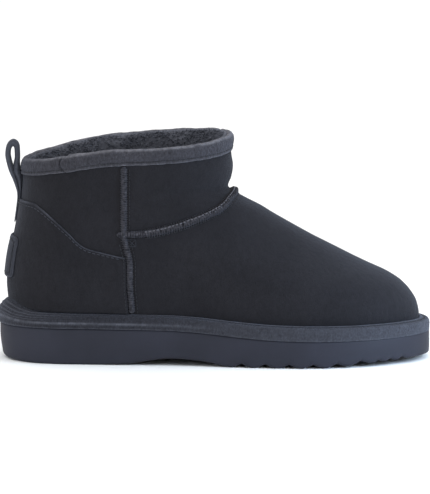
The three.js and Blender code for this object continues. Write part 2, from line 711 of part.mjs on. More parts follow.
const SUEDE = { color: 0x2b2c31, roughness: 0.95 };
const TRIM_SUEDE = { color: 0x3c3d43, roughness: 0.9 };
const RUBBER = { color: 0x393c44, roughness: 0.6 };
const WOOL = { color: 0x26262a, roughness: 1 };

function piece(name, finish, geometry) {
  const mesh = new THREE.Mesh(geometry, new THREE.MeshStandardMaterial({ ...finish, metalness: 0 }));
  mesh.name = name;
  return mesh;
}

const boot = new THREE.Group();
boot.name = 'sheepskin_ankle_boot';
boot.add(
  piece('outsole', RUBBER, outsole()),
  piece('midsole_band', TRIM_SUEDE, midsoleBand()),
  piece('upper', SUEDE, upper()),
  piece('insole', WOOL, insole()),
  piece('collar_binding', TRIM_SUEDE, collarBinding()),
  piece('heel_counter', SUEDE, heelCounter()),
  piece('heel_patch', TRIM_SUEDE, heelPatch()),
  piece('side_seam_lower_outer', SUEDE, sideSeamLower(-1)),
  piece('side_seam_upper_outer', SUEDE, sideSeamUpper(-1)),
  piece('side_seam_lower_inner', SUEDE, sideSeamLower(1)),
  piece('side_seam_upper_inner', SUEDE, sideSeamUpper(1)),
  piece('instep_seam', SUEDE, instepSeam()),
  piece('pull_loop', TRIM_SUEDE, pullLoop()),
);

// The origin lies on the ground, under the middle of the box around the boot.
const box = new THREE.Box3().setFromObject(boot);
boot.position.set(-(box.min.x + box.max.x) / 2, -(box.min.y + box.max.y) / 2, -box.min.z);

export default boot;
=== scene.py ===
"""A low pull-on sheepskin ankle boot for the right foot, in nearly black suede, on a thick rippled sole.

Sizes are in metres. X runs from heel to toe, Y to the wearer's left and Z up, with the ground at 0.
"""

import math

import bpy
import numpy as np
from mathutils import Matrix, Vector, noise


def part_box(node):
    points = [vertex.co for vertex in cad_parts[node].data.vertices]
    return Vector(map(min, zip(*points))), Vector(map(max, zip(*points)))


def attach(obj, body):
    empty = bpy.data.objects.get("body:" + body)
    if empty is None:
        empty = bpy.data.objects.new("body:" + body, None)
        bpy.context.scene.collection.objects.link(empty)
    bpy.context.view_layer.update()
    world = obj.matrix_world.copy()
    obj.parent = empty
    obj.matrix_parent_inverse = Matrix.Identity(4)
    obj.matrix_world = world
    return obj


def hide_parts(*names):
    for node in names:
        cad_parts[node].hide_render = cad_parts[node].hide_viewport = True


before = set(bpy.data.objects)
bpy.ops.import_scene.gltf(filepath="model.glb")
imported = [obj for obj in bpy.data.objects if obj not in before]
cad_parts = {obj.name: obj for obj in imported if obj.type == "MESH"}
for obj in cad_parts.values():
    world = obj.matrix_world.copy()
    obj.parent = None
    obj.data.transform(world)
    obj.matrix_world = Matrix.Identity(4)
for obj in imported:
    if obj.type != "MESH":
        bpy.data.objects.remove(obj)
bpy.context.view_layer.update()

# Camera: a long lens, square to the boot's outer side and a little above it, rolled by a third of a degree
# as the photograph is.

VIEW_DISTANCE = 3.0
VIEW_ELEVATION = math.radians(7.3)
VIEW_ROLL = math.radians(0.3)
FRAME_HEIGHT = 0.3013  # what the picture's long side takes in, at the boot
VIEW_TARGET = Vector((0.0004, -0.001, 0.0676))

camera_data = bpy.data.cameras.new("camera")
camera_data.sensor_width = 36
camera_data.lens = camera_data.sensor_width * VIEW_DISTANCE / FRAME_HEIGHT
camera_data.clip_start = 0.05
camera = bpy.data.objects.new("camera", camera_data)
bpy.context.scene.collection.objects.link(camera)
away = Vector((0, -math.cos(VIEW_ELEVATION), math.sin(VIEW_ELEVATION)))
aim = (-away).to_track_quat("-Z", "Y").to_matrix() @ Matrix.Rotation(VIEW_ROLL, 3, "Z")
camera.matrix_world = Matrix.Translation(VIEW_TARGET + away * VIEW_DISTANCE) @ aim.to_4x4()
bpy.context.scene.camera = camera


# Outsole: one piece of foamed rubber, moulded with a leaning sidewall, a flat heel and a rippled forefoot.
# It is glued under the midsole band, and its skin has a fine dull grain.

MM = 0.001
BAND_LOW, BAND_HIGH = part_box("midsole_band")
LENGTH = BAND_HIGH.x - BAND_LOW.x
HALF_BALL = (BAND_HIGH.y - BAND_LOW.y) / 2
HEEL_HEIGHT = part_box("outsole")[1].z
TOE_SPRING = 3.4 * MM
ARCH_RISE = 4.4 * MM
HEEL_ROUND = 43 * MM
TOE_ROUND = 90 * MM
ROUNDNESS = 2.15
INSET_HEEL, INSET_TOE = 1.5 * MM, 0.2 * MM
DRAFT_HEEL, DRAFT_TOE = 1.4 * MM, -0.1 * MM
RIPPLE_START, RIPPLE_PITCH, RIPPLE_COUNT, RIPPLE_DEPTH = 0.5645, 0.0553, 6, 2.4 * MM
TOE_RIPPLE_PITCH, TOE_RIPPLE_COUNT, TOE_RIPPLE_DEPTH = 0.0273, 3, 1.7 * MM
# Rounding under the sidewall: at the sides, at the heel and at the toe, and how far from an end it changes.
EDGE_SIDE, EDGE_HEEL, EDGE_TOE, EDGE_REACH = 1.8 * MM, 4.6 * MM, 1 * MM, 12 * MM
TREAD_GROOVE, TREAD_PITCH, TREAD_MARGIN = 1.0 * MM, 9 * MM, 7 * MM
RUBBER_COLOUR = (0.0170, 0.0182, 0.0285, 1)

# Half width and sideways shift are shares of half the ball's width.
SOLE_PLAN = {
    "along": (0.0, 0.15, 0.3, 0.42, 0.55, 0.65, 0.73, 0.82, 0.92, 1.0),
    "half": (0.735, 0.742, 0.742, 0.765, 0.867, 0.965, 1.01, 1.03, 1.01, 0.97),
    "shift": (0.0, 0.0, -0.035, -0.05, -0.043, -0.004, 0.028, 0.065, 0.112, 0.15),
}
# Top is a share of the heel height, the underside has shares of the arch and of the toe spring, and band is
# the height of the midsole band's side as a share of the band height.
SOLE_PROFILE = {
    "along": (0.0, 0.22, 0.31, 0.395, 0.475, 0.55, 0.64, 0.74, 0.85, 0.93, 1.0),
    "top": (1.0, 0.996, 0.988, 0.977, 0.923, 0.841, 0.767, 0.738, 0.736, 0.748, 0.766),
    "arch": (0.0, 0.0, 0.3, 1.0, 0.7, 0.0, 0.0, 0.0, 0.0, 0.0, 0.0),
    "spring": (0.0, 0.0, 0.0, 0.0, 0.0, 0.0, 0.0, 0.0, 0.52, 0.84, 1.0),
    "band": (1.0, 1.0, 1.0, 1.0, 1.0, 1.0, 1.0, 1.0, 1.0, 0.96, 0.855),
}


def curve(table, key, column):
    """A smooth curve through one column of a table. It never swings past the rows."""
    keys, values = np.array(table[key], float), np.array(table[column], float)
    secant = np.diff(values) / np.diff(keys)
    before, after = np.append(secant[0], secant), np.append(secant, secant[-1])
    total = np.where(before * after > 0, before + after, 1)
    tangent = np.where(before * after > 0, 2 * before * after / total, 0)

    def at(where):
        where = np.clip(where, keys[0], keys[-1])
        i = np.clip(np.searchsorted(keys, where, side="right") - 1, 0, len(keys) - 2)
        width = keys[i + 1] - keys[i]
        t = (where - keys[i]) / width
        swing = t * (1 - t) * ((1 - t) * tangent[i] - t * tangent[i + 1]) * width
        return values[i] + (values[i + 1] - values[i]) * t * t * (3 - 2 * t) + swing

    return at


def rounding(distance, length):
    """Share of the full width that a rounded end leaves at a distance from its tip."""
    rest = np.clip(1 - distance / length, 0, 1)
    return (1 - rest**ROUNDNESS) ** (1 / ROUNDNESS)


def bell(way, reach):
    """Share that is full where the way is 0 and falls off softly on both sides of it."""
    return np.exp(-((way / reach) ** 2))


def mix(low, high, share):
    return low + (high - low) * share


plan_half, plan_shift = curve(SOLE_PLAN, "along", "half"), curve(SOLE_PLAN, "along", "shift")
top_share, band_share = curve(SOLE_PROFILE, "along", "top"), curve(SOLE_PROFILE, "along", "band")
arch_share, spring_share = curve(SOLE_PROFILE, "along", "arch"), curve(SOLE_PROFILE, "along", "spring")


def sole_body(x):
    return plan_half(x / LENGTH) * HALF_BALL


def centre_line(x):
    return plan_shift(x / LENGTH) * HALF_BALL


def outsole_top(x):
    return top_share(x / LENGTH) * HEEL_HEIGHT


def outsole_bottom(x):
    return arch_share(x / LENGTH) * ARCH_RISE + spring_share(x / LENGTH) * TOE_SPRING


def plan_point(along, side, inset, z):
    """Point of the sole's plan, in from its edge by an inset. Side runs from -1, the outer edge, to 1."""
    x = mix(inset, LENGTH - inset, along)
    half = (sole_body(x) - inset) * rounding(x - inset, HEEL_ROUND) * rounding(LENGTH - inset - x, TOE_ROUND)
    return np.stack(np.broadcast_arrays(x, centre_line(x) + side * half, z), -1)


def in_row_frame(points):
    """Moves points from the boot's own start at the back of the heel to the row's frame."""
    return points + np.array([BAND_LOW.x, (BAND_LOW.y + BAND_HIGH.y) / 2 - PLAN_MIDDLE, 0])


edge = np.linspace(0, 1, 2001)
PLAN_MIDDLE = (plan_point(edge, 1, 0, 0)[:, 1].max() + plan_point(edge, -1, 0, 0)[:, 1].min()) / 2


def around(count):
    return np.arange(count) / count * 2 * math.pi


def along_at(turn):
    return (1 - np.cos(turn)) / 2


def side_of(turn):
    return -np.sign(np.round(np.sin(turn), 7))


def grid_faces(rows, columns, close_rows=False, close_columns=True):
    """Four-sided faces of a grid of points, numbered row by row."""
    row = np.arange(rows if close_rows else rows - 1)[:, None]
    column = np.arange(columns if close_columns else columns - 1)[None, :]
    below, above = row * columns, (row + 1) % rows * columns
    right = (column + 1) % columns
    corners = np.broadcast_arrays(below + column, below + right, above + right, above + column)
    return np.stack(corners, -1).reshape(-1, 4)


def lid_faces(size, start, flip=False):
    """Faces that close a ring of points by strips across it, from its first point to its middle one."""
    step = np.arange(1, size // 2 - 1)
    across = np.stack([step, step + 1, size - step - 1, size - step], -1)
    faces = [[0, 1, size - 1], *across.tolist(), [size // 2 - 1, size // 2, size // 2 + 1]]
    return [[start + corner for corner in (reversed(face) if flip else face)] for face in faces]


def piece(name, points, faces, material, slot, *nodes):
    """Makes a smooth mesh that rides on the boot and stands for the CAD nodes."""
    mesh = bpy.data.meshes.new(name)
    mesh.from_pydata(np.asarray(points).tolist(), [], [list(face) for face in faces])
    mesh.shade_smooth()
    mesh.materials.append(material)
    obj = bpy.data.objects.new(name, mesh)
    bpy.context.scene.collection.objects.link(obj)
    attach(obj, "root")
    if nodes:
        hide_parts(*nodes)
    return obj


def rings_piece(name, rings, material, slot, *nodes, closed=False):
    """A solid from rings of points. Its ends are closed by lids, or meet each other where closed is true."""
    rings = np.asarray(rings)
    count, size = rings.shape[:2]
    faces = grid_faces(count, size, close_rows=closed).tolist()
    if not closed:
        faces += lid_faces(size, 0, flip=True) + lid_faces(size, (count - 1) * size)
    return piece(name, in_row_frame(rings.reshape(-1, 3)), faces, material, slot, *nodes)


def groove_depth(x):
    """Depth of the ripples' round troughs across the forefoot."""
    toe_start = RIPPLE_START + RIPPLE_PITCH * (RIPPLE_COUNT - 1) + (RIPPLE_PITCH + TOE_RIPPLE_PITCH) / 2
    depth = 0
    for start, pitch, count, full in (
        (RIPPLE_START, RIPPLE_PITCH, RIPPLE_COUNT, RIPPLE_DEPTH),
        (toe_start, TOE_RIPPLE_PITCH, TOE_RIPPLE_COUNT, TOE_RIPPLE_DEPTH),
    ):
        way = (x / LENGTH - start) / pitch
        inside = (way > -0.5) & (way < count - 0.5)
        depth = depth + full * (1 - np.abs(np.sin(math.pi * way))) * inside
    return depth


def wavy_groove(points, from_edge):
    """Depth of the shallow wavy grooves in the tread, which stay clear of its edge and of the waist."""
    x, y = points[..., 0], points[..., 1]
    wave = np.sin(2 * math.pi * (x / TREAD_PITCH + 0.35 * np.sin(2 * math.pi * y / (2.6 * TREAD_PITCH))))
    along = x / LENGTH
    zone = np.clip((0.31 - along) / 0.01, 0, 1) + np.clip((along - 0.52) / 0.01, 0, 1)
    room = np.clip((from_edge - TREAD_MARGIN) / MM, 0, 1)
    return TREAD_GROOVE * np.clip((wave - 0.5) / 0.25, 0, 1) * zone * room


def socket_group(name, inputs, outputs):
    """An empty shader group with named sockets: a list of (name, kind, default) in, and (name, kind) out."""
    group = bpy.data.node_groups.new(name, "ShaderNodeTree")
    for label, kind, default in inputs:
        socket = group.interface.new_socket(label, in_out="INPUT", socket_type=kind)
        socket.default_value = default
    for label, kind in outputs:
        group.interface.new_socket(label, in_out="OUTPUT", socket_type=kind)
    return group, group.nodes.new("NodeGroupInput"), group.nodes.new("NodeGroupOutput")


def feed(tree, node, **inputs):
    """Sets or links a node's inputs, by name with _ for a space, or by number as i0."""
    for key, value in inputs.items():
        by_number = key[0] == "i" and key[1:].isdigit()
        socket = node.inputs[int(key[1:]) if by_number else key.replace("_", " ")]
        if isinstance(value, bpy.types.NodeSocket):
            tree.links.new(value, socket)
        else:
            socket.default_value = value


def add_node(tree, kind, settings=(), **inputs):
    """Adds a shader node with its settings and its inputs."""
    node = tree.nodes.new(kind)
    for key, value in dict(settings).items():
        setattr(node, key, value)
    feed(tree, node, **inputs)
    return node


def speckle(tree, where, scale, detail=2.0, roughness=0.5):
    """Value of a noise texture at a place."""
    texture = add_node(tree, "ShaderNodeTexNoise", Vector=where, Scale=scale, Detail=detail,
                       Roughness=roughness)
    return texture.outputs[0]


def spread(tree, value, low, high, to_low=0.0, to_high=1.0):
    """A value between low and high, carried over to another range."""
    carried = add_node(tree, "ShaderNodeMapRange", Value=value, From_Min=low, From_Max=high, To_Min=to_low,
                       To_Max=to_high)
    return carried.outputs[0]


def shaded(tree, colour, factor):
    """A colour made lighter or darker by a factor."""
    return add_node(tree, "ShaderNodeVectorMath", {"operation": "SCALE"}, i0=colour, Scale=factor).outputs[0]


def new_material(name):
    material = bpy.data.materials.new(name)
    material.use_nodes = True
    tree = material.node_tree
    tree.nodes.clear()
    surface = tree.nodes.new("ShaderNodeBsdfPrincipled")
    result = tree.nodes.new("ShaderNodeOutputMaterial")
    tree.links.new(surface.outputs[0], result.inputs[0])
    return material, tree, surface


def dull_grain_group():
    """Moulded skin: faint clouds of colour and a fine grain."""
    group, given, result = socket_group(
        "dull_grain",
        [("Colour", "NodeSocketColor", (0.05, 0.05, 0.06, 1)), ("Grain", "NodeSocketFloat", 2600.0)],
        [("Colour", "NodeSocketColor"), ("Roughness", "NodeSocketFloat"), ("Height", "NodeSocketFloat")],
    )
    where = add_node(group, "ShaderNodeTexCoord").outputs["Object"]
    clouds = speckle(group, where, 38.0, 3.0)
    grain = speckle(group, where, given.outputs["Grain"], 2.0, 0.6)
    shade = spread(group, clouds, 0.3, 0.7, 0.86, 1.14)
    feed(group, result, Colour=shaded(group, given.outputs["Colour"], shade),
         Roughness=spread(group, grain, 0.2, 0.8, 0.52, 0.72), Height=grain)
    return group


rubber, tree, surface = new_material("foamed_rubber")
grain = add_node(tree, "ShaderNodeGroup", {"node_tree": dull_grain_group()}, Colour=RUBBER_COLOUR,
                 Grain=2400.0)
bump = add_node(tree, "ShaderNodeBump", Strength=0.25, Distance=0.0002, Height=grain.outputs["Height"])
feed(tree, surface, Base_Color=grain.outputs["Colour"], Roughness=grain.outputs["Roughness"],
     Normal=bump.outputs[0], Specular_IOR_Level=0.28)


def outsole_rings():
    """Rings of the sidewall, from the tread's edge up."""
    ends = np.linspace(0, math.pi, 90)
    along = np.unique(np.round(np.concatenate([along_at(ends), np.linspace(0.5, 0.99, 330)]), 5))
    inner = along[1:-1]

    def edge(x):
        near_heel, near_toe = bell(x, EDGE_REACH), bell(LENGTH - x, EDGE_REACH)
        return mix(mix(EDGE_SIDE, EDGE_HEEL, near_heel), EDGE_TOE, near_toe)

    def ring(inset, lean, height):
        def side(where, which):
            from_rim = mix(INSET_HEEL, INSET_TOE, where) + lean * mix(DRAFT_HEEL, DRAFT_TOE, where)
            points = plan_point(where, which, from_rim + inset * edge(where * LENGTH), 0)
            points[:, 2] = height(where * LENGTH)
            return points

        tips = side(np.array([0.0, 1.0]), 0)
        return np.concatenate([tips[:1], side(inner, -1), tips[1:], side(inner, 1)[::-1]])

    def tread(x):
        return outsole_bottom(x) + groove_depth(x)

    rings = []
    for angle in np.linspace(0, math.pi / 2, 8):
        rings.append(ring(1 - math.sin(angle), 1, lambda x: tread(x) + (1 - math.cos(angle)) * edge(x)))
    for share in np.linspace(0, 1, 14)[1:]:
        soft = -0.12 * math.sin(math.pi * share)

        def height(x, share=share):
            low = outsole_bottom(x) + edge(x) + groove_depth(x) * (1 - share) ** 3
            return mix(low, outsole_top(x), share)

        rings.append(ring(soft, 1 - share, height))
    return np.array(rings)


def tread_grid(ring, first, columns=48):
    """Points and faces that fill the tread inside its edge ring, row by row from heel to toe."""
    size = len(ring)
    half = size // 2
    outer, inner = ring[1:half], ring[:half:-1]
    shares = np.linspace(0, 1, columns + 1)[1:-1]
    points = outer[:, None] + (inner - outer)[:, None] * shares[:, None]
    width = np.linalg.norm(inner - outer, axis=1)
    from_edge = width[:, None] * np.minimum(shares, 1 - shares)
    points[..., 2] += wavy_groove(points, from_edge)
    middle = first + np.arange(points[..., 0].size).reshape(points.shape[:2])
    rows = np.concatenate([np.arange(1, half)[:, None], middle, (size - np.arange(1, half))[:, None]], 1)
    faces = np.stack([rows[:-1, :-1], rows[1:, :-1], rows[1:, 1:], rows[:-1, 1:]], -1).reshape(-1, 4).tolist()
    faces += [[0, a, b] for a, b in zip(rows[0, :-1].tolist(), rows[0, 1:].tolist())]
    faces += [[half, b, a] for a, b in zip(rows[-1, :-1].tolist(), rows[-1, 1:].tolist())]
    return points.reshape(-1, 3), faces


rings = outsole_rings()
count, size = rings.shape[:2]
tread_points, tread_faces = tread_grid(rings[0], count * size)
faces = grid_faces(count, size).tolist() + lid_faces(size, (count - 1) * size) + tread_faces
piece("outsole_moulded", in_row_frame(np.concatenate([rings.reshape(-1, 3), tread_points])), faces, rubber,
      "sole_rubber", "outsole")


# Upper: a shell of sheepskin with its suede side out, lasted over the foot, so that it is smooth and full.
# Seams join its quarters and its vamp. The leather draws in at each seam and swells softly beside it.

LEDGE = 6.6 * MM  # how far the sole stands out around the upper
BAND_HEIGHT = 8.8 * MM
BAND_HEEL_RISE, BAND_HEEL_REACH = 5.4 * MM, 10.6 * MM  # of the band's lip, behind the heel
SEAT_DEPTH = 5 * MM  # how deep the upper stands in the band
GAP = 0.3 * MM  # between pieces that lie against each other
WALL = 2.6 * MM  # suede with its wool pressed flat
BINDING_CROWN = 1.6 * MM  # of the binding's fold, above the upper's edge
COLLAR_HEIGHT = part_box("collar_binding")[1].z
INSTEP_HEIGHT = 98 * MM
SUEDE_COLOUR = (0.0146, 0.0142, 0.0168, 1)
# Pale colour of rubbed wear, and of the painted highlight on the heel counter's top edge.
RUBBED_AND_HIGHLIGHT_COLOUR = (0.076, 0.080, 0.099, 1)
SHEEN_TINT = (0.50, 0.55, 0.68, 1)

# Level sections of the upper, up to the instep height and then on to the collar height.
FOOT_SECTIONS = {
    "up": (0.18, 0.275, 0.35, 0.415, 0.475, 0.53, 0.595, 0.665, 0.775, 0.9, 0.955, 1.0),
    "back": (0.032, 0.032, 0.03, 0.027, 0.0255, 0.026, 0.0285, 0.0325, 0.0415, 0.0495, 0.0523, 0.0541),
    "front": (0.972, 0.975, 0.969, 0.955, 0.935, 0.905, 0.855, 0.802, 0.722, 0.6395, 0.607, 0.575),
    "nose": (0.33, 0.32, 0.305, 0.295, 0.295, 0.305, 0.335, 0.375, 0.395, 0.37, 0.335, 0.3),
    "shaft": (0.66, 0.67, 0.68, 0.69, 0.695, 0.7, 0.71, 0.715, 0.72, 0.725, 0.728, 0.73),
    "blend": (0.0, 0.0, 0.04, 0.11, 0.19, 0.28, 0.38, 0.5, 0.68, 0.87, 0.93, 0.97),
    "swell": (0.0, 0.1, 0.24, 0.3, 0.3, 0.27, 0.2, 0.12, 0.04, 0.0, 0.0, 0.0),
}
LEG_SECTIONS = {
    "up": (0.1, 0.19, 0.33, 0.5, 0.67, 0.82, 1.0),
    "back": (0.0554, 0.0565, 0.0578, 0.0593, 0.0605, 0.0609, 0.061),
    "front": (0.549, 0.5325, 0.539, 0.5425, 0.5385, 0.537, 0.5385),
    "nose": (0.265, 0.24, 0.228, 0.222, 0.22, 0.221, 0.222),
    "shaft": (0.733, 0.737, 0.745, 0.76, 0.775, 0.788, 0.8),
    "blend": (1.0, 1.0, 1.0, 1.0, 1.0, 1.0, 1.0),
    "swell": (0.0, 0.0, 0.0, 0.0, 0.0, 0.0, 0.0),
}
# Lines seen from the side. The instep's line goes by shares of the upper's own length at its height. Tilt is
# the collar's slope across, by which its inner side stands higher.
COLLAR_LINE = {
    "along": (0.055, 0.1, 0.155, 0.26, 0.37, 0.45, 0.54),
    "up": (0.882, 0.897, 0.918, 0.954, 0.969, 0.982, 1.0),
    "tilt": (0.0, 0.005, 0.01, 0.024, 0.038, 0.052, 0.07),
}
INSTEP_LINE = {
    "along": (0.33, 0.378, 0.465, 0.589, 0.67, 0.765, 0.868, 0.946, 1.0),
    "up": (0.806, 0.811, 0.82, 0.859, 0.892, 0.932, 0.977, 1.018, 1.044),
}
SIDE_SEAM_LINE = {
    "up": (0.23, 0.37, 0.435, 0.48, 0.575, 1.0),
    "along": (0.3125, 0.307, 0.307, 0.304, 0.2936, 0.2936),
}

section = {name: FOOT_SECTIONS[name] + LEG_SECTIONS[name] for name in FOOT_SECTIONS}
section["z"] = tuple(up * INSTEP_HEIGHT for up in FOOT_SECTIONS["up"]) + tuple(
    mix(INSTEP_HEIGHT, COLLAR_HEIGHT, up) for up in LEG_SECTIONS["up"]
)
section_at = {name: curve(section, "z", name) for name in FOOT_SECTIONS}
collar_share, collar_tilt = curve(COLLAR_LINE, "along", "up"), curve(COLLAR_LINE, "along", "tilt")
instep_share = curve(INSTEP_LINE, "along", "up")
side_seam_share = curve(SIDE_SEAM_LINE, "up", "along")


def collar_line(x, y=0.0):
    return collar_share(x / LENGTH) * COLLAR_HEIGHT + collar_tilt(x / LENGTH) * y


def edge_line(x, y):
    return collar_line(x, y) - BINDING_CROWN


def instep_line(turn):
    return instep_share(along_at(turn)) * INSTEP_HEIGHT


def side_seam_at(z):
    return side_seam_share(z / COLLAR_HEIGHT) * LENGTH


def band_top(x):
    return outsole_top(x) + band_share(x / LENGTH) * BAND_HEIGHT


def lip_line(x):
    return band_top(x) + BAND_HEEL_RISE * bell(x - LEDGE, BAND_HEEL_REACH)


def foot_line(x):
    return band_top(x) - SEAT_DEPTH + GAP


def form(turn, z):
    """Point of the lasted face: angle 0 is the back of the heel, and a half turn is the toe."""
    turn, z = np.broadcast_arrays(turn, z)
    back, front = section_at["back"](z) * LENGTH, section_at["front"](z) * LENGTH
    x = mix(back, front, along_at(turn))
    foot = sole_body(x) - LEDGE * (1 - section_at["swell"](z))
    body = mix(foot, section_at["shaft"](z) * HALF_BALL, section_at["blend"](z))
    half = body * rounding(x - back, HEEL_ROUND) * rounding(front - x, section_at["nose"](z) * LENGTH)
    return np.stack([x, centre_line(x) + side_of(turn) * half, z], -1)


def unit(vectors):
    return vectors / np.maximum(np.linalg.norm(vectors, axis=-1, keepdims=True), 1e-12)


def directions(turn, z):
    """Directions of the lasted face: around for each radian, up for each metre, and the way out."""
    step, rise = 0.01, 0.1 * MM
    way_round = (form(turn + step, z) - form(turn - step, z)) / (2 * step)
    way_up = (form(turn, z + rise) - form(turn, z - rise)) / (2 * rise)
    return way_round, way_up, unit(np.cross(way_round, way_up))


def unevenness(points, size, shift=0.0):
    """Soft random height from -1 to 1 at points, with swells of about the size given."""
    scaled = (np.asarray(points).reshape(-1, 3) / size + shift).tolist()
    return np.array([noise.noise(Vector(point)) for point in scaled]).reshape(np.shape(points)[:-1])


# Soft creases of the worn-in leather: where along and how high in mm the middle of each lies, how long and
# how wide it is in mm, how it leans in degrees, how deep it is in mm, and whether it shows outside (-1),
# inside (1) or on both sides (0).
CREASES = (
    # along, up, long, wide, lean, deep, side
    (0.505, 107, 26, 5.5, 14, -0.55, 0),
    (0.440, 103, 34, 6.5, 20, -0.25, -1),
    (0.590, 84, 34, 8.0, 60, -0.22, 0),
    (0.700, 62, 46, 10, 66, -0.26, -1),
    (0.760, 50, 40, 10, 72, 0.22, 0),
    (0.215, 108, 40, 9.0, -6, -0.30, 0),
    (0.420, 50, 50, 13, 30, -0.25, 0),
)
# How far in mm the leather draws in at a seam and swells beside it, and how wide these lie.
DRAWN_IN, DRAWN_WIDTH = 0.2, 3.2
SWELL, SWELL_OFFSET, SWELL_WIDTH = 0.18, 8, 4.5


def relief(turn, points):
    """How far creases, seams and small unevenness lift the face at its points."""
    x, z = points[..., 0], points[..., 2]
    lift = 0.30 * MM * unevenness(points, 34 * MM) + 0.07 * MM * unevenness(points, 11 * MM, 5.0)
    for middle, up, long, wide, degrees, deep, side in CREASES:
        lean = math.radians(degrees)
        ahead, above = x - middle * LENGTH, z - up * MM
        run = (ahead * math.cos(lean) + above * math.sin(lean)) / (long * MM)
        off = (above * math.cos(lean) - ahead * math.sin(lean)) / (wide * MM)
        shows = 1 if side == 0 else np.clip(0.5 - side * np.sin(turn) * 3, 0, 1)
        lift = lift + deep * MM * np.exp(-4 * run**2 - off**2) * shows
    from_instep = (z - instep_line(turn)) / MM
    crossed = np.clip((along_at(turn) - 0.31) / 0.04, 0, 1)
    from_side = (x - side_seam_at(z)) / MM
    for off, share in ((from_instep, crossed), (from_side, 1.0)):
        drawn = -DRAWN_IN * bell(off, DRAWN_WIDTH) + SWELL * bell(np.abs(off) - SWELL_OFFSET, SWELL_WIDTH)
        lift = lift + drawn * share * MM
    return lift


def lifted(turn, z, lift):
    """Point of the outer face, moved out by lift along its normal."""
    turn, z, lift = np.broadcast_arrays(turn, z, lift)
    points = form(turn, z)
    return points + directions(turn, z)[2] * (lift + relief(turn, points))[..., None]


def turn_at(x, z, side):
    """Angle of the face's point at a distance along the boot, outside (-1) or inside (1)."""
    back, front = section_at["back"](z) * LENGTH, section_at["front"](z) * LENGTH
    turn = np.arccos(np.clip(1 - 2 * (x - back) / (front - back), -1, 1))
    return turn if side < 0 else 2 * math.pi - turn


def height_on(line, turn):
    """Height at which a line of the side view meets the outer face, at each angle."""
    z = np.full(np.shape(turn), INSTEP_HEIGHT)
    for _ in range(18):
        point = form(turn, z)
        z = line(point[..., 0], point[..., 1])
    return z


def reckoned(tree, operation, *values, clamp=False):
    """Result of a math node on values or sockets."""
    inputs = {f"i{number}": value for number, value in enumerate(values)}
    return add_node(tree, "ShaderNodeMath", {"operation": operation, "use_clamp": clamp}, **inputs).outputs[0]


def mixed_colour(tree, share, first, second):
    """A colour between two others."""
    mixed = add_node(tree, "ShaderNodeMix", {"data_type": "RGBA"}, Factor=share, i6=first, i7=second)
    return mixed.outputs[2]


def napped_suede_group():
    """Brushed suede: patches of nap that lie light or dark, a mottle, fine fibres and a pale edge mark."""
    group, given, result = socket_group(
        "napped_suede",
        [
            ("Colour", "NodeSocketColor", (0.03, 0.03, 0.035, 1)),
            ("Rubbed", "NodeSocketColor", (0.09, 0.095, 0.11, 1)),
            ("Edge", "NodeSocketFloat", 0.0),
            ("Patches", "NodeSocketFloat", 0.25),
            ("Mottle", "NodeSocketFloat", 0.12),
            ("Flecks", "NodeSocketFloat", 400.0),
            ("Fibres", "NodeSocketFloat", 1900.0),
        ],
        [("Colour", "NodeSocketColor"), ("Roughness", "NodeSocketFloat"), ("Height", "NodeSocketFloat")],
    )
    where = add_node(group, "ShaderNodeTexCoord").outputs["Object"]
    drag = add_node(group, "ShaderNodeMapping", Vector=where, Scale=(1.0, 1.0, 0.55))
    patches = speckle(group, where, 30.0, 4.0, 0.55)
    mottle = speckle(group, drag.outputs[0], given.outputs["Flecks"], 3.0, 0.6)
    fibres = speckle(group, drag.outputs[0], given.outputs["Fibres"], 3.0, 0.7)

    def around_one(value, amount):
        return spread(group, value, 0.32, 0.68, reckoned(group, "SUBTRACT", 1.0, amount),
                      reckoned(group, "ADD", 1.0, amount))

    shade = around_one(patches, given.outputs["Patches"])
    mottled = around_one(mottle, given.outputs["Mottle"])
    fine = spread(group, fibres, 0.3, 0.75, 0.74, 1.35)
    light = reckoned(group, "MULTIPLY", reckoned(group, "MULTIPLY", shade, mottled), fine)
    nap = shaded(group, given.outputs["Colour"], light)
    ragged = reckoned(group, "MULTIPLY", given.outputs["Edge"], fine, clamp=True)
    feed(group, result, Colour=mixed_colour(group, ragged, nap, given.outputs["Rubbed"]),
         Roughness=spread(group, fibres, 0.0, 1.0, 0.88, 1.0),
         Height=reckoned(group, "MULTIPLY_ADD", mottle, 1.5, fibres))
    return group


napped_suede = napped_suede_group()


def suede(name, colour, rubbed, patches, sheen, fibres=1900.0, nap_depth=0.55, mottle=0.10, flecks=400.0):
    """A suede finish. The mesh's edge values say where it is painted pale: rubbed wear, and on some pieces
    painted light.
    """
    material, tree, surface = new_material(name)
    pale_amount = add_node(tree, "ShaderNodeAttribute", {"attribute_name": "edge"})
    nap = add_node(tree, "ShaderNodeGroup", {"node_tree": napped_suede}, Colour=colour, Rubbed=rubbed,
                   Edge=pale_amount.outputs["Fac"], Patches=patches, Mottle=mottle, Flecks=flecks, Fibres=fibres)
    bump = add_node(tree, "ShaderNodeBump", Strength=nap_depth, Distance=0.0004, Height=nap.outputs["Height"])
    feed(tree, surface, Base_Color=nap.outputs["Colour"], Roughness=nap.outputs["Roughness"],
         Normal=bump.outputs[0], Specular_IOR_Level=0.1, Sheen_Weight=sheen, Sheen_Roughness=0.45,
         Sheen_Tint=SHEEN_TINT)
    return material


def paint_edge(obj, values):
    """Writes how pale each point is painted, from 0 to 1: for wear, and on some pieces for painted light."""
    layer = obj.data.attributes.new("edge", "FLOAT", "POINT")
    layer.data.foreach_set("value", np.clip(np.asarray(values, float).ravel(), 0, 1))


def upper_rings(columns=372, outside=140, inside=40):
    turn = around(columns)

    def ring(share, lift):
        z = height_on(lambda x, y: mix(foot_line(x), edge_line(x, y), share), turn)
        return lifted(turn, z, lift)

    up = [ring(share, 0) for share in np.linspace(0, 1, outside)]
    down = [ring(share, -WALL) for share in np.linspace(1, 0, inside)]
    return up + down


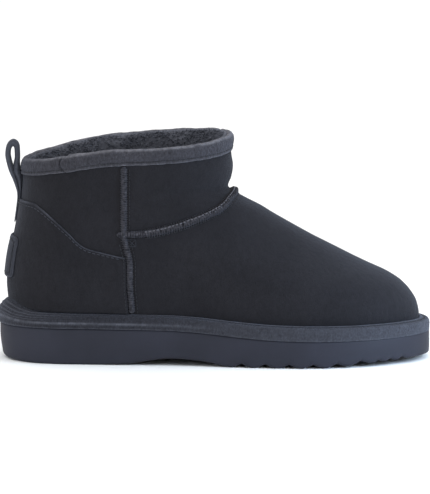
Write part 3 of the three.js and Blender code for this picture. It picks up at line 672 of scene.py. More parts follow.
upper_suede = suede("upper_suede", SUEDE_COLOUR, RUBBED_AND_HIGHLIGHT_COLOUR, patches=0.10, sheen=0.16)
upper = rings_piece("upper_shell", upper_rings(), upper_suede, "upper_suede", "upper", closed=True)
paint_edge(upper, np.zeros(len(upper.data.vertices)))


# Midsole band: a foam platform wrapped in a strip of suede, turned in at the top beside the foot. The strip
# is napped, paler than the upper, and stitched down along a narrow flange around the forefoot.

BAND_COLOUR = (0.0215, 0.0218, 0.0272, 1)
# Pale colour of the band's pilled nap and of its painted highlights and painted light.
BAND_NAP_AND_HIGHLIGHT = (0.125, 0.130, 0.156, 1)
THREAD_COLOUR = (0.0125, 0.0132, 0.0165, 1)
BAND_STITCH = (3.4 * MM, 2.3 * MM, 0.34 * MM)  # pitch of the row, length of a stitch and radius of the thread

# Side of the band: out is the way from the upper to the edge, and up is a share of the height. At the heel
# the side slopes up from a ridge. At the forefoot it is upright and full, with a flange above it.
BAND_SIDE = {
    "step": (0.0, 0.14, 0.28, 0.42, 0.56, 0.7, 0.78, 0.84, 0.88, 0.92, 0.96, 1.0),
    "out_heel": (0.92, 0.98, 1.0, 0.97, 0.86, 0.64, 0.44, 0.3, 0.22, 0.15, 0.08, 0.0),
    "up_heel": (0.0, 0.14, 0.36, 0.5, 0.64, 0.8, 0.89, 0.945, 0.965, 0.985, 1.0, 1.0),
    "out_toe": (0.97, 0.995, 1.0, 1.0, 0.96, 0.82, 0.66, 0.52, 0.46, 0.36, 0.2, 0.0),
    "up_toe": (0.0, 0.12, 0.34, 0.58, 0.78, 0.9, 0.93, 0.91, 0.94, 0.985, 1.01, 1.0),
}
heel_out, heel_up = curve(BAND_SIDE, "step", "out_heel"), curve(BAND_SIDE, "step", "up_heel")
toe_out, toe_up = curve(BAND_SIDE, "step", "out_toe"), curve(BAND_SIDE, "step", "up_toe")


def streaks(step, rim):
    """Fine ridges that run around the back of the heel, above the band's fold. From -1 to 1."""
    run = step * 8.5 + 0.35 * unevenness(rim, 14 * MM, 6.0)
    above_fold = np.clip((step - 0.36) / 0.08, 0, 1) * np.clip((0.94 - step) / 0.05, 0, 1)
    return np.cos(2 * math.pi * run) * above_fold


def band_shape(turn):
    """Gives a function for the rings of the band's side, its rim, and shares of forefoot and heel."""
    along = along_at(turn)
    rim = plan_point(along, side_of(turn), 0, 0)
    bottom, lip = outsole_top(rim[:, 0]), height_on(lambda x, y: lip_line(x), turn)
    wall = lifted(turn, lip, GAP)
    outward = unit((rim - wall) * np.array([1, 1, 0]))
    toe = np.clip((along - 0.26) / 0.3, 0, 1)
    toe = toe * toe * (3 - 2 * toe)
    heel = bell(along, 0.14)

    def ring(step):
        points = wall + (rim - wall) * mix(heel_out(step), toe_out(step), toe)[:, None]
        points[:, 2] = mix(bottom, lip, mix(heel_up(step), toe_up(step), toe))
        swell = 0.4 * unevenness(points, 16 * MM) + 0.16 * unevenness(points, 4 * MM, 3.0)
        swell = swell + 0.22 * streaks(step, rim) * heel
        return points + outward * (swell * MM * math.sin(math.pi * step))[:, None]

    return ring, rim, toe, heel


def band_rings(columns=480, steps=64):
    """Rings of the band, from its lower edge up to the lip and down to its seat, and how pale each is
    painted.
    """
    turn = around(columns)
    ring, rim, toe, heel = band_shape(turn)
    rings, rubbed = [], []
    for step in np.linspace(0, 1, steps):
        rings.append(ring(step))
        pale_amount = 0.75 + 0.6 * unevenness(rings[-1], 3 * MM, 8.0)
        # Painted highlight: the heel's ridge and the lip are painted pale where light falls on them.
        ridge_highlight = (0.6 * bell(step - 0.3, 0.07) + 0.4 * bell(step - 0.97, 0.03)) * pale_amount
        # Painted highlight on the crests of the fine streaks behind the heel.
        ridge_highlight = ridge_highlight + 0.3 * np.maximum(streaks(step, rim), 0) * heel
        pilled = 0.9 + 0.5 * unevenness(rings[-1], 1.3 * MM, 18.0)
        # Painted light: the forefoot's face is painted paler towards the toe, where light falls; pilled is
        # its nap.
        face = (0.05 + 0.19 * along_at(turn)) * (0.06 < step < 0.72)
        flange = 0.42 * bell(step - 0.95, 0.03)
        # Painted light: the lower fold is tucked in and in shade, and is painted pale over that shade.
        low = 0.34 * bell(step, 0.09) * pale_amount
        rubbed.append(mix(ridge_highlight + low, (face + flange) * pilled + 0.8 * low, toe))
    wall = rings[-1] - np.array([0, 0, 1 * MM])
    seat = lifted(turn, height_on(lambda x, y: foot_line(x) - GAP, turn), GAP)
    return rings + [wall, seat], rubbed + [np.zeros(columns), np.zeros(columns)]


band_suede = suede("band_suede", BAND_COLOUR, BAND_NAP_AND_HIGHLIGHT, patches=0.08, sheen=0.22, fibres=1500.0,
                   nap_depth=0.9, mottle=0.30, flecks=800.0)
rings, rubbed = band_rings()
band = rings_piece("band_wrapped", rings, band_suede, "band_suede", "midsole_band")
paint_edge(band, rubbed)


def stitches(path, out, pitch, length, radius, rise=0.12 * MM):
    """Beads of thread along a path, bedded into the surface at both ends. Gives their points and faces."""
    lengths = np.concatenate([[0], np.cumsum(np.linalg.norm(np.diff(path, axis=0), axis=1))])
    begin = np.arange(max(int((lengths[-1] - length) / pitch) + 1, 1)) * pitch
    part = np.array([0, 0.12, 0.35, 0.65, 0.88, 1])
    where = begin[:, None] + part * length
    middle = np.stack([np.interp(where, lengths, path[:, i]) for i in range(3)], -1)
    out = unit(np.stack([np.interp(where, lengths, out[:, i]) for i in range(3)], -1))
    across = unit(np.cross(unit(np.gradient(middle, axis=1)), out))
    thick = radius * np.array([0.4, 0.85, 1, 1, 0.85, 0.4])
    arch = rise * np.sin(math.pi * part)
    sides = np.arange(6) / 6 * 2 * math.pi
    height = arch[:, None] + thick[:, None] * np.cos(sides)
    width = thick[:, None] * np.sin(sides)
    lifts = out[:, :, None] * height[None, :, :, None]
    points = middle[:, :, None] + lifts + across[:, :, None] * width[None, :, :, None]
    one = grid_faces(6, 6).tolist()
    faces = [[corner + 36 * i for corner in face] for i in range(len(begin)) for face in one]
    for i in range(len(begin)):
        faces += [[36 * i + k for k in range(6)], [36 * i + 35 - k for k in range(6)]]
    return points.reshape(-1, 3), faces


def thread_piece(name, runs, material, slot):
    """Joins runs of stitches into one piece."""
    points, faces, start = [], [], 0
    for run_points, run_faces in runs:
        points.append(run_points)
        faces += [[corner + start for corner in face] for face in run_faces]
        start += len(run_points)
    return piece(name, in_row_frame(np.concatenate(points)), faces, material, slot)


def twisted_thread(name, colour, shine):
    """Polyester thread: a fine twist across its length, a little gloss, and dust in the twist."""
    material, tree, surface = new_material(name)
    where = add_node(tree, "ShaderNodeTexCoord").outputs["Object"]
    twist = add_node(tree, "ShaderNodeTexWave", {"bands_direction": "DIAGONAL"}, Vector=where, Scale=900.0,
                     Distortion=2.0)
    dusty = tuple(1.6 * part for part in colour[:3]) + (1,)
    bump = add_node(tree, "ShaderNodeBump", Strength=0.5, Distance=0.0002, Height=twist.outputs["Fac"])
    feed(tree, surface, Base_Color=mixed_colour(tree, speckle(tree, where, 700.0), colour, dusty),
         Normal=bump.outputs[0], Roughness=0.6, Specular_IOR_Level=shine)
    return material


dark_thread = twisted_thread("dark_thread", THREAD_COLOUR, 0.3)


def band_stitch_run():
    """Stitches in the dark line under the flange, around the forefoot."""
    turn = np.linspace(2.15, 2 * math.pi - 2.15, 500)
    ring = band_shape(turn)[0]
    path = ring(0.84)
    out = unit(np.cross(ring(0.80) - ring(0.88), np.gradient(path, axis=0)))
    out *= np.sign(out[:, 2:3])
    return stitches(path, out, *BAND_STITCH)


thread_piece("band_thread", [band_stitch_run()], dark_thread, "band_suede")


# Insole and lining: curly wool, dyed nearly black. The lining is the upper's own fleece, pressed flat under
# the binding and standing thick and lumpy below it. The insole is a loose sock covered in the same wool.

INSOLE_THICKNESS = 5.5 * MM
WOOL_COLOUR = (0.037, 0.038, 0.0465, 1)
WOOL_TIP_COLOUR = (0.080, 0.082, 0.097, 1)


def curly_wool(name, colour, tip):
    """Wool: paler on the tips, with lumps of locks, and painted shade between the curls where its bump is
    low.
    """
    material, tree, surface = new_material(name)
    where = add_node(tree, "ShaderNodeTexCoord").outputs["Object"]
    locks = add_node(tree, "ShaderNodeTexVoronoi", {"feature": "SMOOTH_F1"}, Vector=where, Scale=210.0)
    curls = speckle(tree, where, 620.0, 4.0, 0.65)
    tips = reckoned(tree, "MULTIPLY_ADD", speckle(tree, where, 80.0, 3.0), 2.0, curls)
    height = reckoned(tree, "SUBTRACT", curls, locks.outputs["Distance"])
    bump = add_node(tree, "ShaderNodeBump", Strength=0.55, Distance=0.0009, Height=height)
    # Painted shade: the colour follows the bump's fine curls and is darker in their hollows.
    feed(tree, surface, Base_Color=mixed_colour(tree, spread(tree, tips, 1.2, 1.8), colour, tip),
         Normal=bump.outputs[0], Roughness=1, Specular_IOR_Level=0.1, Sheen_Weight=0.3, Sheen_Roughness=0.6,
         Sheen_Tint=SHEEN_TINT)
    return material


wool = curly_wool("curly_wool", WOOL_COLOUR, WOOL_TIP_COLOUR)


def insole_rings(columns=240):
    turn = around(columns)
    rings = []
    for rise, inset in ((0.4 * MM, 0), (0.75 * INSOLE_THICKNESS, 0), (INSOLE_THICKNESS, 1.5 * MM)):
        z = height_on(lambda x, y, rise=rise: foot_line(x) + rise, turn)
        rings.append(lifted(turn, z, -(WALL + 2 * GAP + inset)))
    rim = rings[-1]
    for share in np.linspace(0, 0.97, 36)[1:]:
        points = rim.copy()
        points[:, 1] = mix(rim[:, 1], centre_line(rim[:, 0]), share)
        curls = 0.9 * unevenness(points, 9 * MM) + 0.5 * unevenness(points, 3.5 * MM)
        points[:, 2] += curls * MM * min(share * 6, 1)
        rings.append(points)
    return rings


rings_piece("insole_wool", insole_rings(), wool, "wool", "insole")

# Thickness of the wool, at each way down from the lining's top, in mm.
PILE = {
    "down": (0.0, 1.2, 3.5, 8.0, 16.0, 60.0, 140.0),
    "thick": (1.0, 2.6, 4.6, 6.0, 6.4, 5.6, 4.0),
}
LINING_TOP = 0.9 * MM  # below the collar's edge
pile_curve = curve(PILE, "down", "thick")


def lining_ends(turn):
    """Heights of the lining's lower and upper ends, at each angle."""
    low = height_on(lambda x, y: foot_line(x) + 2 * MM, turn)
    return low, height_on(lambda x, y: collar_line(x, y) - LINING_TOP, turn)


def pile_face(turn, down):
    """Inner face of the wool: a point of it, at an angle and a way down from the lining's top."""
    low, top = lining_ends(turn)
    z = np.maximum(top - down, low)
    thick = pile_curve((top - z) / MM) * MM
    base = form(turn, z)
    lump = 0.75 * unevenness(base, 9 * MM, 2.0) + 0.3 * unevenness(base, 3.2 * MM, 9.0)
    return turn, z, -(WALL + GAP + thick + lump * np.clip(thick / (3 * MM), 0, 1) * MM)


def lining_rings(columns=300, inner=88):
    turn = around(columns)
    low, top = lining_ends(turn)
    rings = [lifted(turn, mix(low, top, share), -(WALL + GAP)) for share in np.linspace(0, 1, 44)]
    for share in np.linspace(0, 1, inner) ** 1.4:
        rings.append(lifted(*pile_face(turn, (top - low) * share)))
    return rings


rings_piece("wool_lining", lining_rings(), wool, "wool", closed=True)


def locks_of_wool(count, seed, place, length, radius, rise):
    """Small curled locks. Place gives each root's angle and way down, from random shares."""
    random = np.random.default_rng(seed)
    turn, down = place(random.random(count), random.random(count))
    roots = lifted(*pile_face(turn, down))
    way_round, way_up, out = directions(turn, lining_ends(turn)[1] - down)
    way_round, way_up = unit(way_round), unit(way_up)
    lean = random.normal(0, 0.6, (count, 2))
    start = unit(-0.55 * out + way_round * lean[:, :1] + way_up * (lean[:, 1:] + rise))
    bend = unit(np.cross(start, random.normal(0, 1, (count, 3))))
    long = length * (0.6 + 0.8 * random.random(count))
    curl = 1.2 + 1.6 * random.random(count)
    rings = []
    for part, thick in ((0, 0.9), (0.3, 1.0), (0.58, 0.9), (0.82, 0.62), (1, 0.15)):
        angle = curl * part
        reach = long / curl
        bow = bend * (reach * (1 - np.cos(angle)))[:, None]
        middle = roots + start * (reach * np.sin(angle) - 0.4 * MM)[:, None] + bow
        forward = start * np.cos(angle)[:, None] + bend * np.sin(angle)[:, None]
        side = unit(np.cross(forward, bend))
        other = np.cross(forward, side)
        corners = [middle + (side * math.cos(way) + other * math.sin(way)) * radius * thick
                   for way in (0, 2.1, 4.2)]
        rings.append(np.stack(corners, 1))
    points = np.stack(rings, 1)
    one = grid_faces(5, 3).tolist() + [[0, 2, 1], [12, 13, 14]]
    faces = [[corner + 15 * i for corner in face] for i in range(count) for face in one]
    return points.reshape(-1, 3), faces


def all_round(a, b):
    return a * 2 * math.pi, 1.0 * MM + 46 * MM * b**1.6


def by_the_rim(a, b):
    return a * 2 * math.pi, 0.5 * MM + 3.4 * MM * b


def behind_the_heel(a, b):
    return 0.16 + 0.2 * (a - 0.5), 0.2 * MM + 1.4 * MM * b


thread_piece("wool_locks", [
    locks_of_wool(4800, 11, all_round, 2.0 * MM, 0.42 * MM, 0.0),
    locks_of_wool(1800, 12, by_the_rim, 1.3 * MM, 0.22 * MM, 0.0),
    locks_of_wool(90, 13, behind_the_heel, 3.6 * MM, 0.30 * MM, 1.2),
], wool, "wool")


# Collar binding: a strip of paler suede folded over the raw edge of the collar and stitched through. Its ends
# overlap on the outer side, near the back, with the front one on top. Its fold is fuzzy and never quite even.

BINDING_HEIGHT = 10 * MM
JOIN_START, JOIN_LENGTH, JOIN_STEP = 40 * MM, 13 * MM, 0.6 * MM
BINDING_COLOUR = (0.0282, 0.0274, 0.0335, 1)
BINDING_RUBBED = (0.185, 0.183, 0.205, 1)
BINDING_ROW = 8.1 * MM  # way down from the fold to the stitches
BINDING_STITCH = (3.1 * MM, 2.2 * MM, 0.3 * MM)

# Section of the folded strip: lift from the upper's face and way down from the fold, in mm.
BINDING_SECTION = (
    # lift, down, share of the overlap's step
    (0.3, 9.7, 0), (0.7, 10.0, 1), (1.15, 9.7, 1), (1.35, 9.0, 1), (1.25, 8.2, 1), (1.05, 7.9, 1),
    (1.3, 7.5, 1), (1.6, 6.5, 1), (1.75, 5.2, 1), (1.7, 3.9, 1), (1.5, 2.8, 1), (1.2, 1.7, 1),
    (0.6, 0.75, 1), (-0.3, 0.2, 1), (-1.2, 0.0, 1), (-1.9, 0.2, 0), (-2.5, 0.6, 0), (-2.9, 1.2, 0),
    (-3.1, 1.9, 0), (-3.1, 2.4, 0), (-2.95, 2.5, 0), (-2.8, 2.2, 0), (-2.75, 1.6, 0), (-1.2, 1.25, 0),
    (0.3, 1.6, 0), (0.3, 5.0, 0),
)
# Where the upper end is cut, in mm: along the boot, at each way down from the fold.
JOIN_LINE = {"down": (0.0, 0.8, 2.0, 4.5, 7.5, 10.0), "along": (43.4, 42.4, 40.1, 39.6, 40.8, 42.6)}
join_line = curve(JOIN_LINE, "down", "along")


def binding_turns(columns=560):
    """Angles around the collar, set close together near the strip's upper end."""
    join = np.linspace(JOIN_START - 2 * MM, JOIN_START + 5 * MM, 70)
    return np.unique(np.concatenate([around(columns), turn_at(join, collar_line(join), -1)]))


def binding_rings():
    """Rings of the folded strip, one for each point of its section, and how far they are rubbed."""
    turn = binding_turns()
    collar = height_on(collar_line, turn)
    fold = form(turn, collar)
    x, outer = fold[:, 0], np.sin(turn) > 0
    wave = 0.5 * unevenness(fold, 13 * MM, 7.0) + 0.25 * unevenness(fold, 4 * MM, 1.0)
    notch = -1.1 * bell(turn - math.pi - 0.44, 0.03)
    cut_wave = 0.3 * MM * unevenness(fold, 5 * MM, 20.0)
    from_back = np.clip((x - 14 * MM) / (22 * MM), 0, 1)
    rings, rubbed = [], []
    for lift, down, doubled in BINDING_SECTION:
        past = x - join_line(down) * MM
        layer = np.clip(past / (0.3 * MM), 0, 1) * np.clip((JOIN_LENGTH - past) / (0.7 * JOIN_LENGTH), 0, 1)
        layer = layer * outer * doubled * JOIN_STEP
        sunk = 1.2 * bell(past + 0.4 * MM, 0.5 * MM) * outer * (lift > 0.5)
        z = collar - down * MM + (wave + notch) * bell(down, 4.5) * MM * (lift < 1.6)
        z = z + cut_wave * (down > 8.5) + (layer if down == 0 else 0)
        puff = 0.22 * unevenness(form(turn, z), 7 * MM, 4.0) * (lift > 1)
        raised = (lift + puff - sunk) * MM + (layer if lift > 0 else 0)
        points = lifted(turn, np.minimum(z, collar + 1 * MM), raised)
        points[:, 2] = z
        rings.append(points)
        fuzz = 0.7 * bell(down - 0.4, 0.8) + 0.3 * bell(down - 9.9, 0.7) * (lift > 0)
        fuzz = fuzz * (0.75 + 0.7 * unevenness(points, 2.4 * MM, 2.0))
        rubbed.append(fuzz * mix(0.4, 1, from_back) + 0.07 * from_back)
    return rings, rubbed


binding_suede = suede("binding_suede", BINDING_COLOUR, BINDING_RUBBED, patches=0.14, sheen=0.2, fibres=1500.0,
                      nap_depth=1.1, mottle=0.42, flecks=850.0)
rings, rubbed = binding_rings()
binding = rings_piece("collar_binding_strip", rings, binding_suede, "trim_suede", "collar_binding",
                      closed=True)
paint_edge(binding, rubbed)


def binding_stitch_run():
    turn = np.linspace(0.25, 2 * math.pi - 0.25, 900)
    z = height_on(lambda x, y: collar_line(x, y) - BINDING_ROW, turn)
    path = lifted(turn, z, 1.15 * MM)
    return stitches(path, directions(turn, z)[2], *BINDING_STITCH)


thread_piece("binding_thread", [binding_stitch_run()], dark_thread, "trim_suede")


# Heel counter: a shaped piece of the same suede laid around the heel, from side seam to side seam. Its top
# edge is cut raw, and the pale line along it is a painted highlight, with one row of stitches inside it.

COUNTER_THICKNESS = 1 * MM
COUNTER_DEPTH = 55 * MM  # from its top edge to the band, about
COUNTER_ROW = 2.2 * MM  # way down from the top edge to the stitches
COUNTER_STITCH = (2.9 * MM, 2.1 * MM, 0.27 * MM)
PALE_THREAD_COLOUR = (0.031, 0.033, 0.042, 1)
SIDE_SEAM_WIDTH = 3.7 * MM
COUNTER_LINE = {
    "along": (0.053, 0.087, 0.1075, 0.128, 0.149, 0.17, 0.19, 0.211, 0.231, 0.294),
    "up": (0.995, 0.988, 0.955, 0.91, 0.86, 0.808, 0.753, 0.72, 0.705, 0.667),
}
counter_share = curve(COUNTER_LINE, "along", "up")


def counter_place(across, down):
    """Angle and height on the counter. Across runs from -1 to 1 and down from the top, 0, to the band, 1."""
    across, down = np.broadcast_arrays(across, down)
    z, turn = np.full(across.shape, HEEL_HEIGHT), np.zeros(across.shape)
    for _ in range(20):
        reach = turn_at(side_seam_at(z) - SIDE_SEAM_WIDTH / 2 - GAP, z, -1)
        turn = across * reach
        x = form(turn, z)[..., 0]
        z = mix(counter_share(x / LENGTH) * INSTEP_HEIGHT, lip_line(x) + 2 * GAP, down)
    return turn, z


def sheet_piece(name, turn, z, inner, thick, material, slot, *nodes):
    """A thin sheet on the outer face. Turn and z are grids, and thick tells its thickness at each point."""
    outer_face, inner_face = lifted(turn, z, inner + thick), lifted(turn, z, inner)
    rows, columns = turn.shape
    size = rows * columns
    front = grid_faces(rows, columns, close_columns=False)
    back = front[:, ::-1] + size
    index = np.arange(size).reshape(rows, columns)
    border = np.concatenate([index[0], index[1:, -1], index[-1, -2::-1], index[-2:0:-1, 0]])
    following = np.roll(border, -1)
    side = np.stack([following, border, border + size, following + size], -1)
    points = np.concatenate([outer_face.reshape(-1, 3), inner_face.reshape(-1, 3)])
    faces = [*front.tolist(), *back.tolist(), *side.tolist()]
    return piece(name, in_row_frame(points), faces, material, slot, *nodes)


def edge_fall(distance, round_over):
    """Share of a sheet's thickness at a distance from its cut edge."""
    rest = np.clip(1 - distance / round_over, 0, 1)
    return np.sqrt(np.clip(1 - 0.93 * rest**2, 0, 1))


rows_down = np.concatenate([np.linspace(0, 0.05, 8)[:-1], np.linspace(0.05, 1, 44)])
across, down = np.meshgrid(np.linspace(-1, 1, 240), rows_down)
turn, z = counter_place(across, down)
from_top = down * COUNTER_DEPTH
thick = COUNTER_THICKNESS * edge_fall(from_top, 0.8 * MM)
thick = thick - 0.28 * MM * bell(from_top - COUNTER_ROW, 0.55 * MM)
counter = sheet_piece("heel_counter_suede", turn, z, GAP, thick, upper_suede, "upper_suede", "heel_counter")
patchy = np.clip(0.5 + 0.55 * unevenness(form(turn, z), 7 * MM, 3.0), 0.1, 1)
# Painted highlight: a pale line along the counter's top edge.
pale_edge = bell(from_top, 0.7 * MM) * patchy
paint_edge(counter, np.concatenate([pale_edge.ravel(), pale_edge.ravel()]))


def counter_stitch_run():
    across = np.linspace(-0.98, 0.98, 500)
    turn, z = counter_place(across, COUNTER_ROW / COUNTER_DEPTH)
    path = lifted(turn, z, GAP + COUNTER_THICKNESS - 0.15 * MM)
    return stitches(path, directions(turn, z)[2], *COUNTER_STITCH)


pale_thread = twisted_thread("pale_thread", PALE_THREAD_COLOUR, 0.2)
thread_piece("counter_thread", [counter_stitch_run()], pale_thread, "upper_suede")


# Heel patch: a plain patch of suede with rounded corners, laid on the back of the heel counter and sewn down
# by one row of stitches inside its rim.

PATCH_BOTTOM, PATCH_HEIGHT, PATCH_WIDTH, PATCH_THICKNESS = 50 * MM, 24.8 * MM, 34 * MM, 1.3 * MM
PATCH_COLOUR = (0.0195, 0.0203, 0.0256, 1)
PATCH_ROW = 2.3 * MM  # way in from the rim to the stitches
PATCH_STITCH = (2.9 * MM, 2.1 * MM, 0.28 * MM)
CORNER_POWER, ROW_CORNER_POWER = 8, 6


def heel_turn(y, z):
    """Angle at which the heel's face lies a way to the side of the centre line. Y is less than 0 outside."""
    y, z = np.broadcast_arrays(y, z)
    near, far = np.zeros(y.shape), np.full(y.shape, math.pi / 2)
    for _ in range(26):
        middle = (near + far) / 2
        point = form(middle, z)
        less = centre_line(point[..., 0]) - point[..., 1] < np.abs(y)
        near, far = np.where(less, middle, near), np.where(less, far, middle)
    return -np.sign(y) * near


def patch_place(side, up):
    side = side * 0.985
    half = PATCH_HEIGHT / 2 * (1 - np.abs(side) ** CORNER_POWER) ** (1 / CORNER_POWER)
    z = PATCH_BOTTOM + PATCH_HEIGHT / 2 + half * up
    return heel_turn(side * PATCH_WIDTH / 2, z), z


side, up = np.meshgrid(*(np.sin(np.linspace(-1, 1, count) * math.pi / 2) for count in (90, 60)))
turn, z = patch_place(side, up)
from_rim = np.minimum((1 - np.abs(side)) * PATCH_WIDTH / 2, (1 - np.abs(up)) * PATCH_HEIGHT / 2)
thick = PATCH_THICKNESS * edge_fall(from_rim, 1.1 * MM)
thick = thick - 0.3 * MM * bell(from_rim - PATCH_ROW, 0.6 * MM)
patch_suede = suede("patch_suede", PATCH_COLOUR, RUBBED_AND_HIGHLIGHT_COLOUR, patches=0.14, sheen=0.16)
patch = sheet_piece("heel_patch_suede", turn, z, COUNTER_THICKNESS + 2 * GAP, thick, patch_suede,
                    "trim_suede", "heel_patch")
pale_edge = 0.4 * bell(from_rim, 0.8 * MM)
paint_edge(patch, np.concatenate([pale_edge.ravel(), pale_edge.ravel()]))


def patch_stitch_run():
    angle = np.linspace(0, 2 * math.pi, 400)
    cos, sin = np.cos(angle), np.sin(angle)
    squared = (np.abs(cos) ** ROW_CORNER_POWER + np.abs(sin) ** ROW_CORNER_POWER) ** (-1 / ROW_CORNER_POWER)
    side = cos * squared * (1 - PATCH_ROW / (PATCH_WIDTH / 2))
    up = sin * squared * (1 - PATCH_ROW / (PATCH_HEIGHT / 2))
    turn, z = patch_place(side, up)
    path = lifted(turn, z, COUNTER_THICKNESS + 2 * GAP + PATCH_THICKNESS - 0.15 * MM)
    return stitches(path, directions(turn, z)[2], *PATCH_STITCH)


thread_piece("patch_thread", [patch_stitch_run()], dark_thread, "trim_suede")


# Side seams: the quarters' edges are butted and sewn over with looped thread, so each seam is a fuzzy ribbed
# cord, with rows of stitches beside it. The heel counter ends at it, and a crossed tack of thread locks it
# below the instep.

SIDE_SEAM_HEIGHT = 1.7 * MM
SIDE_RIB = 1.1 * MM
SIDE_ROW = 3.4 * MM  # way from the seam's middle to the stitches
SIDE_STITCH = (2.3 * MM, 1.6 * MM, 0.24 * MM)
SIDE_LOOP = (1.45 * MM, 0.24 * MM, 0.4 * MM)  # pitch of the loops, radius of the thread and slant
INSTEP_SEAM_WIDTH, INSTEP_SEAM_HEIGHT, INSTEP_SEAM_TAIL = 4.2 * MM, 2.6 * MM, 2.6 * MM
SEAM_COLOUR = (0.0135, 0.0133, 0.0165, 1)
# Pale colour of the cords' rubbed crests and ribs, and of the painted highlight on the instep cord's upper
# side.
SEAM_RUBBED_AND_HIGHLIGHT = (0.112, 0.110, 0.130, 1)
LOOP_THREAD_COLOUR = (0.033, 0.0328, 0.0390, 1)
TACK_THREAD_COLOUR = (0.020, 0.0212, 0.0270, 1)
SEAM_SIDES = np.linspace(-0.5, 0.5, 15)


def slide(turn, z, way):
    """Angle and height of the point that a short way leads to along the lasted face."""
    way_round, way_up, _ = directions(turn, z)
    aa, au, uu = ((a * b).sum(-1) for a, b in ((way_round, way_round), (way_round, way_up), (way_up, way_up)))
    aw, uw = (way_round * way).sum(-1), (way_up * way).sum(-1)
    scale = aa * uu - au * au
    return turn + (aw * uu - uw * au) / scale, z + (uw * aa - aw * au) / scale


def even_path(turn, z, step):
    """The same path, at even steps along it."""
    points = form(turn, z)
    lengths = np.concatenate([[0], np.cumsum(np.linalg.norm(np.diff(points, axis=0), axis=1))])
    where = np.linspace(0, lengths[-1], int(lengths[-1] / step) + 1)
    return np.interp(where, lengths, turn), np.interp(where, lengths, z), where


def beside(turn, z, way):
    """The path moved sideways along the face. A way above 0 is towards its left, seen from outside."""
    sideways = unit(np.cross(directions(turn, z)[2], np.gradient(form(turn, z), axis=0)))
    return slide(turn, z, sideways * np.asarray(way)[..., None])


def cord_arch(share):
    """Height of a cord's rounded top, as a share of the full one. Share is the way across, -0.5 to 0.5."""
    return (1 - min(abs(share * 2), 1) ** 2.2) ** 0.85


def seam_cord(turn, z, width, height, rib, crossing, slim, flat, upper_highlight):
    """Rings of a ribbed cord along a path, and how pale each point is painted: rubbed on its crest and ribs,
    and on its upper side a painted highlight as strong as upper_highlight. Crossing says where along it the
    other seam crosses, and there its width and height change by slim and flat.
    """
    turn, z, where = even_path(turn, z, rib / 5)
    rest = where[-1] - where
    ends = {"start": (rest, where), "end": (where, rest), "both": (np.minimum(where, rest),) * 2}
    free, crossed = ends[crossing]
    near = bell(crossed, 6 * MM)
    width, height = width * mix(1, slim, near), height * mix(1, flat, near)
    taper = np.sqrt(np.clip(free / (0.45 * width), 0.02, 1))
    wander = 0.22 * MM * unevenness(form(turn, z), 3.5 * MM, 4.0)
    ragged = 1.04 + 0.14 * unevenness(form(turn, z), 2.2 * MM, 12.0)
    beat = 0.5 + 0.5 * np.cos(where / rib * 2 * math.pi + 2.2 * unevenness(form(turn, z), 5 * MM))
    columns, rubbed = [], []
    for share in SEAM_SIDES:
        arch = cord_arch(share)
        t, h = beside(turn, z, wander + share * width * ragged * (0.86 + 0.14 * beat) * taper)
        lift = GAP + (height - GAP) * arch * (0.74 + 0.26 * beat) * taper
        columns.append(lifted(t, h, lift))
        pale_amount = (0.10 + 0.46 * beat) * (0.75 + 1.3 * unevenness(columns[-1], 1.5 * MM))
        # Pale on the crest and ribs where rubbed; upper_highlight paints a highlight on the cord's upper
        # side.
        rubbed.append(arch**0.4 * pale_amount * (1 + 2 * upper_highlight * share))
    for share in np.linspace(0.46, -0.46, 5):
        t, h = beside(turn, z, wander + share * width * taper)
        columns.append(lifted(t, h, np.full(len(turn), GAP * 0.8)))
        rubbed.append(np.zeros(len(turn)))
    return np.stack(columns, 1), np.stack(rubbed, 1)


def cord_piece(name, turn, z, width, height, rib, shape, material, slot, node):
    rings, rubbed = seam_cord(turn, z, width, height, rib, *shape)
    count, size = rings.shape[:2]
    faces = grid_faces(count, size).tolist()
    faces += [list(range(size))[::-1], [size * (count - 1) + i for i in range(size)]]
    cord = piece(name, in_row_frame(rings.reshape(-1, 3)), faces, material, slot, node)
    paint_edge(cord, rubbed)


def stitch_line(turn, z, way, lift, stitch):
    """A row of stitches beside a path."""
    turn, z = beside(turn, z, np.full(len(turn), way))
    return stitches(lifted(turn, z, lift), directions(turn, z)[2], *stitch)


def loops_over(turn, z, width, height, pitch, radius, slant, reach=0.62):
    """Loops of thread that sew a cord's whole width down: from beside it, over its top and down again."""
    turn, z, where = even_path(turn, z, pitch)
    turn, z, where = turn[1:-1], z[1:-1], where[1:-1]
    jitter = 0.22 * pitch * unevenness(form(turn, z), 2 * MM, 30.0)
    middles, outs = [], []
    for share in np.linspace(-reach, reach, 9):
        shift = slant * share * 2 + jitter
        t, h = np.interp(where + shift, where, turn), np.interp(where + shift, where, z)
        t, h = beside(t, h, share * width * (1 + 0.1 * unevenness(form(t, h), 2 * MM, 40.0)))
        middles.append(lifted(t, h, 0.05 * MM + (height - 0.1 * MM) * cord_arch(share)))
        outs.append(directions(t, h)[2])
    middle, out = np.stack(middles, 1), np.stack(outs, 1)
    side = unit(np.cross(unit(np.gradient(middle, axis=1)), out))
    angle = np.arange(5) / 5 * 2 * math.pi
    points = middle[:, :, None] + radius * (
        out[:, :, None] * np.cos(angle)[:, None] + side[:, :, None] * np.sin(angle)[:, None])
    one = grid_faces(9, 5).tolist() + [[0, 1, 2, 3, 4], [44, 43, 42, 41, 40]]
    faces = [[corner + 45 * i for corner in face] for i in range(len(middle)) for face in one]
    return points.reshape(-1, 3), faces


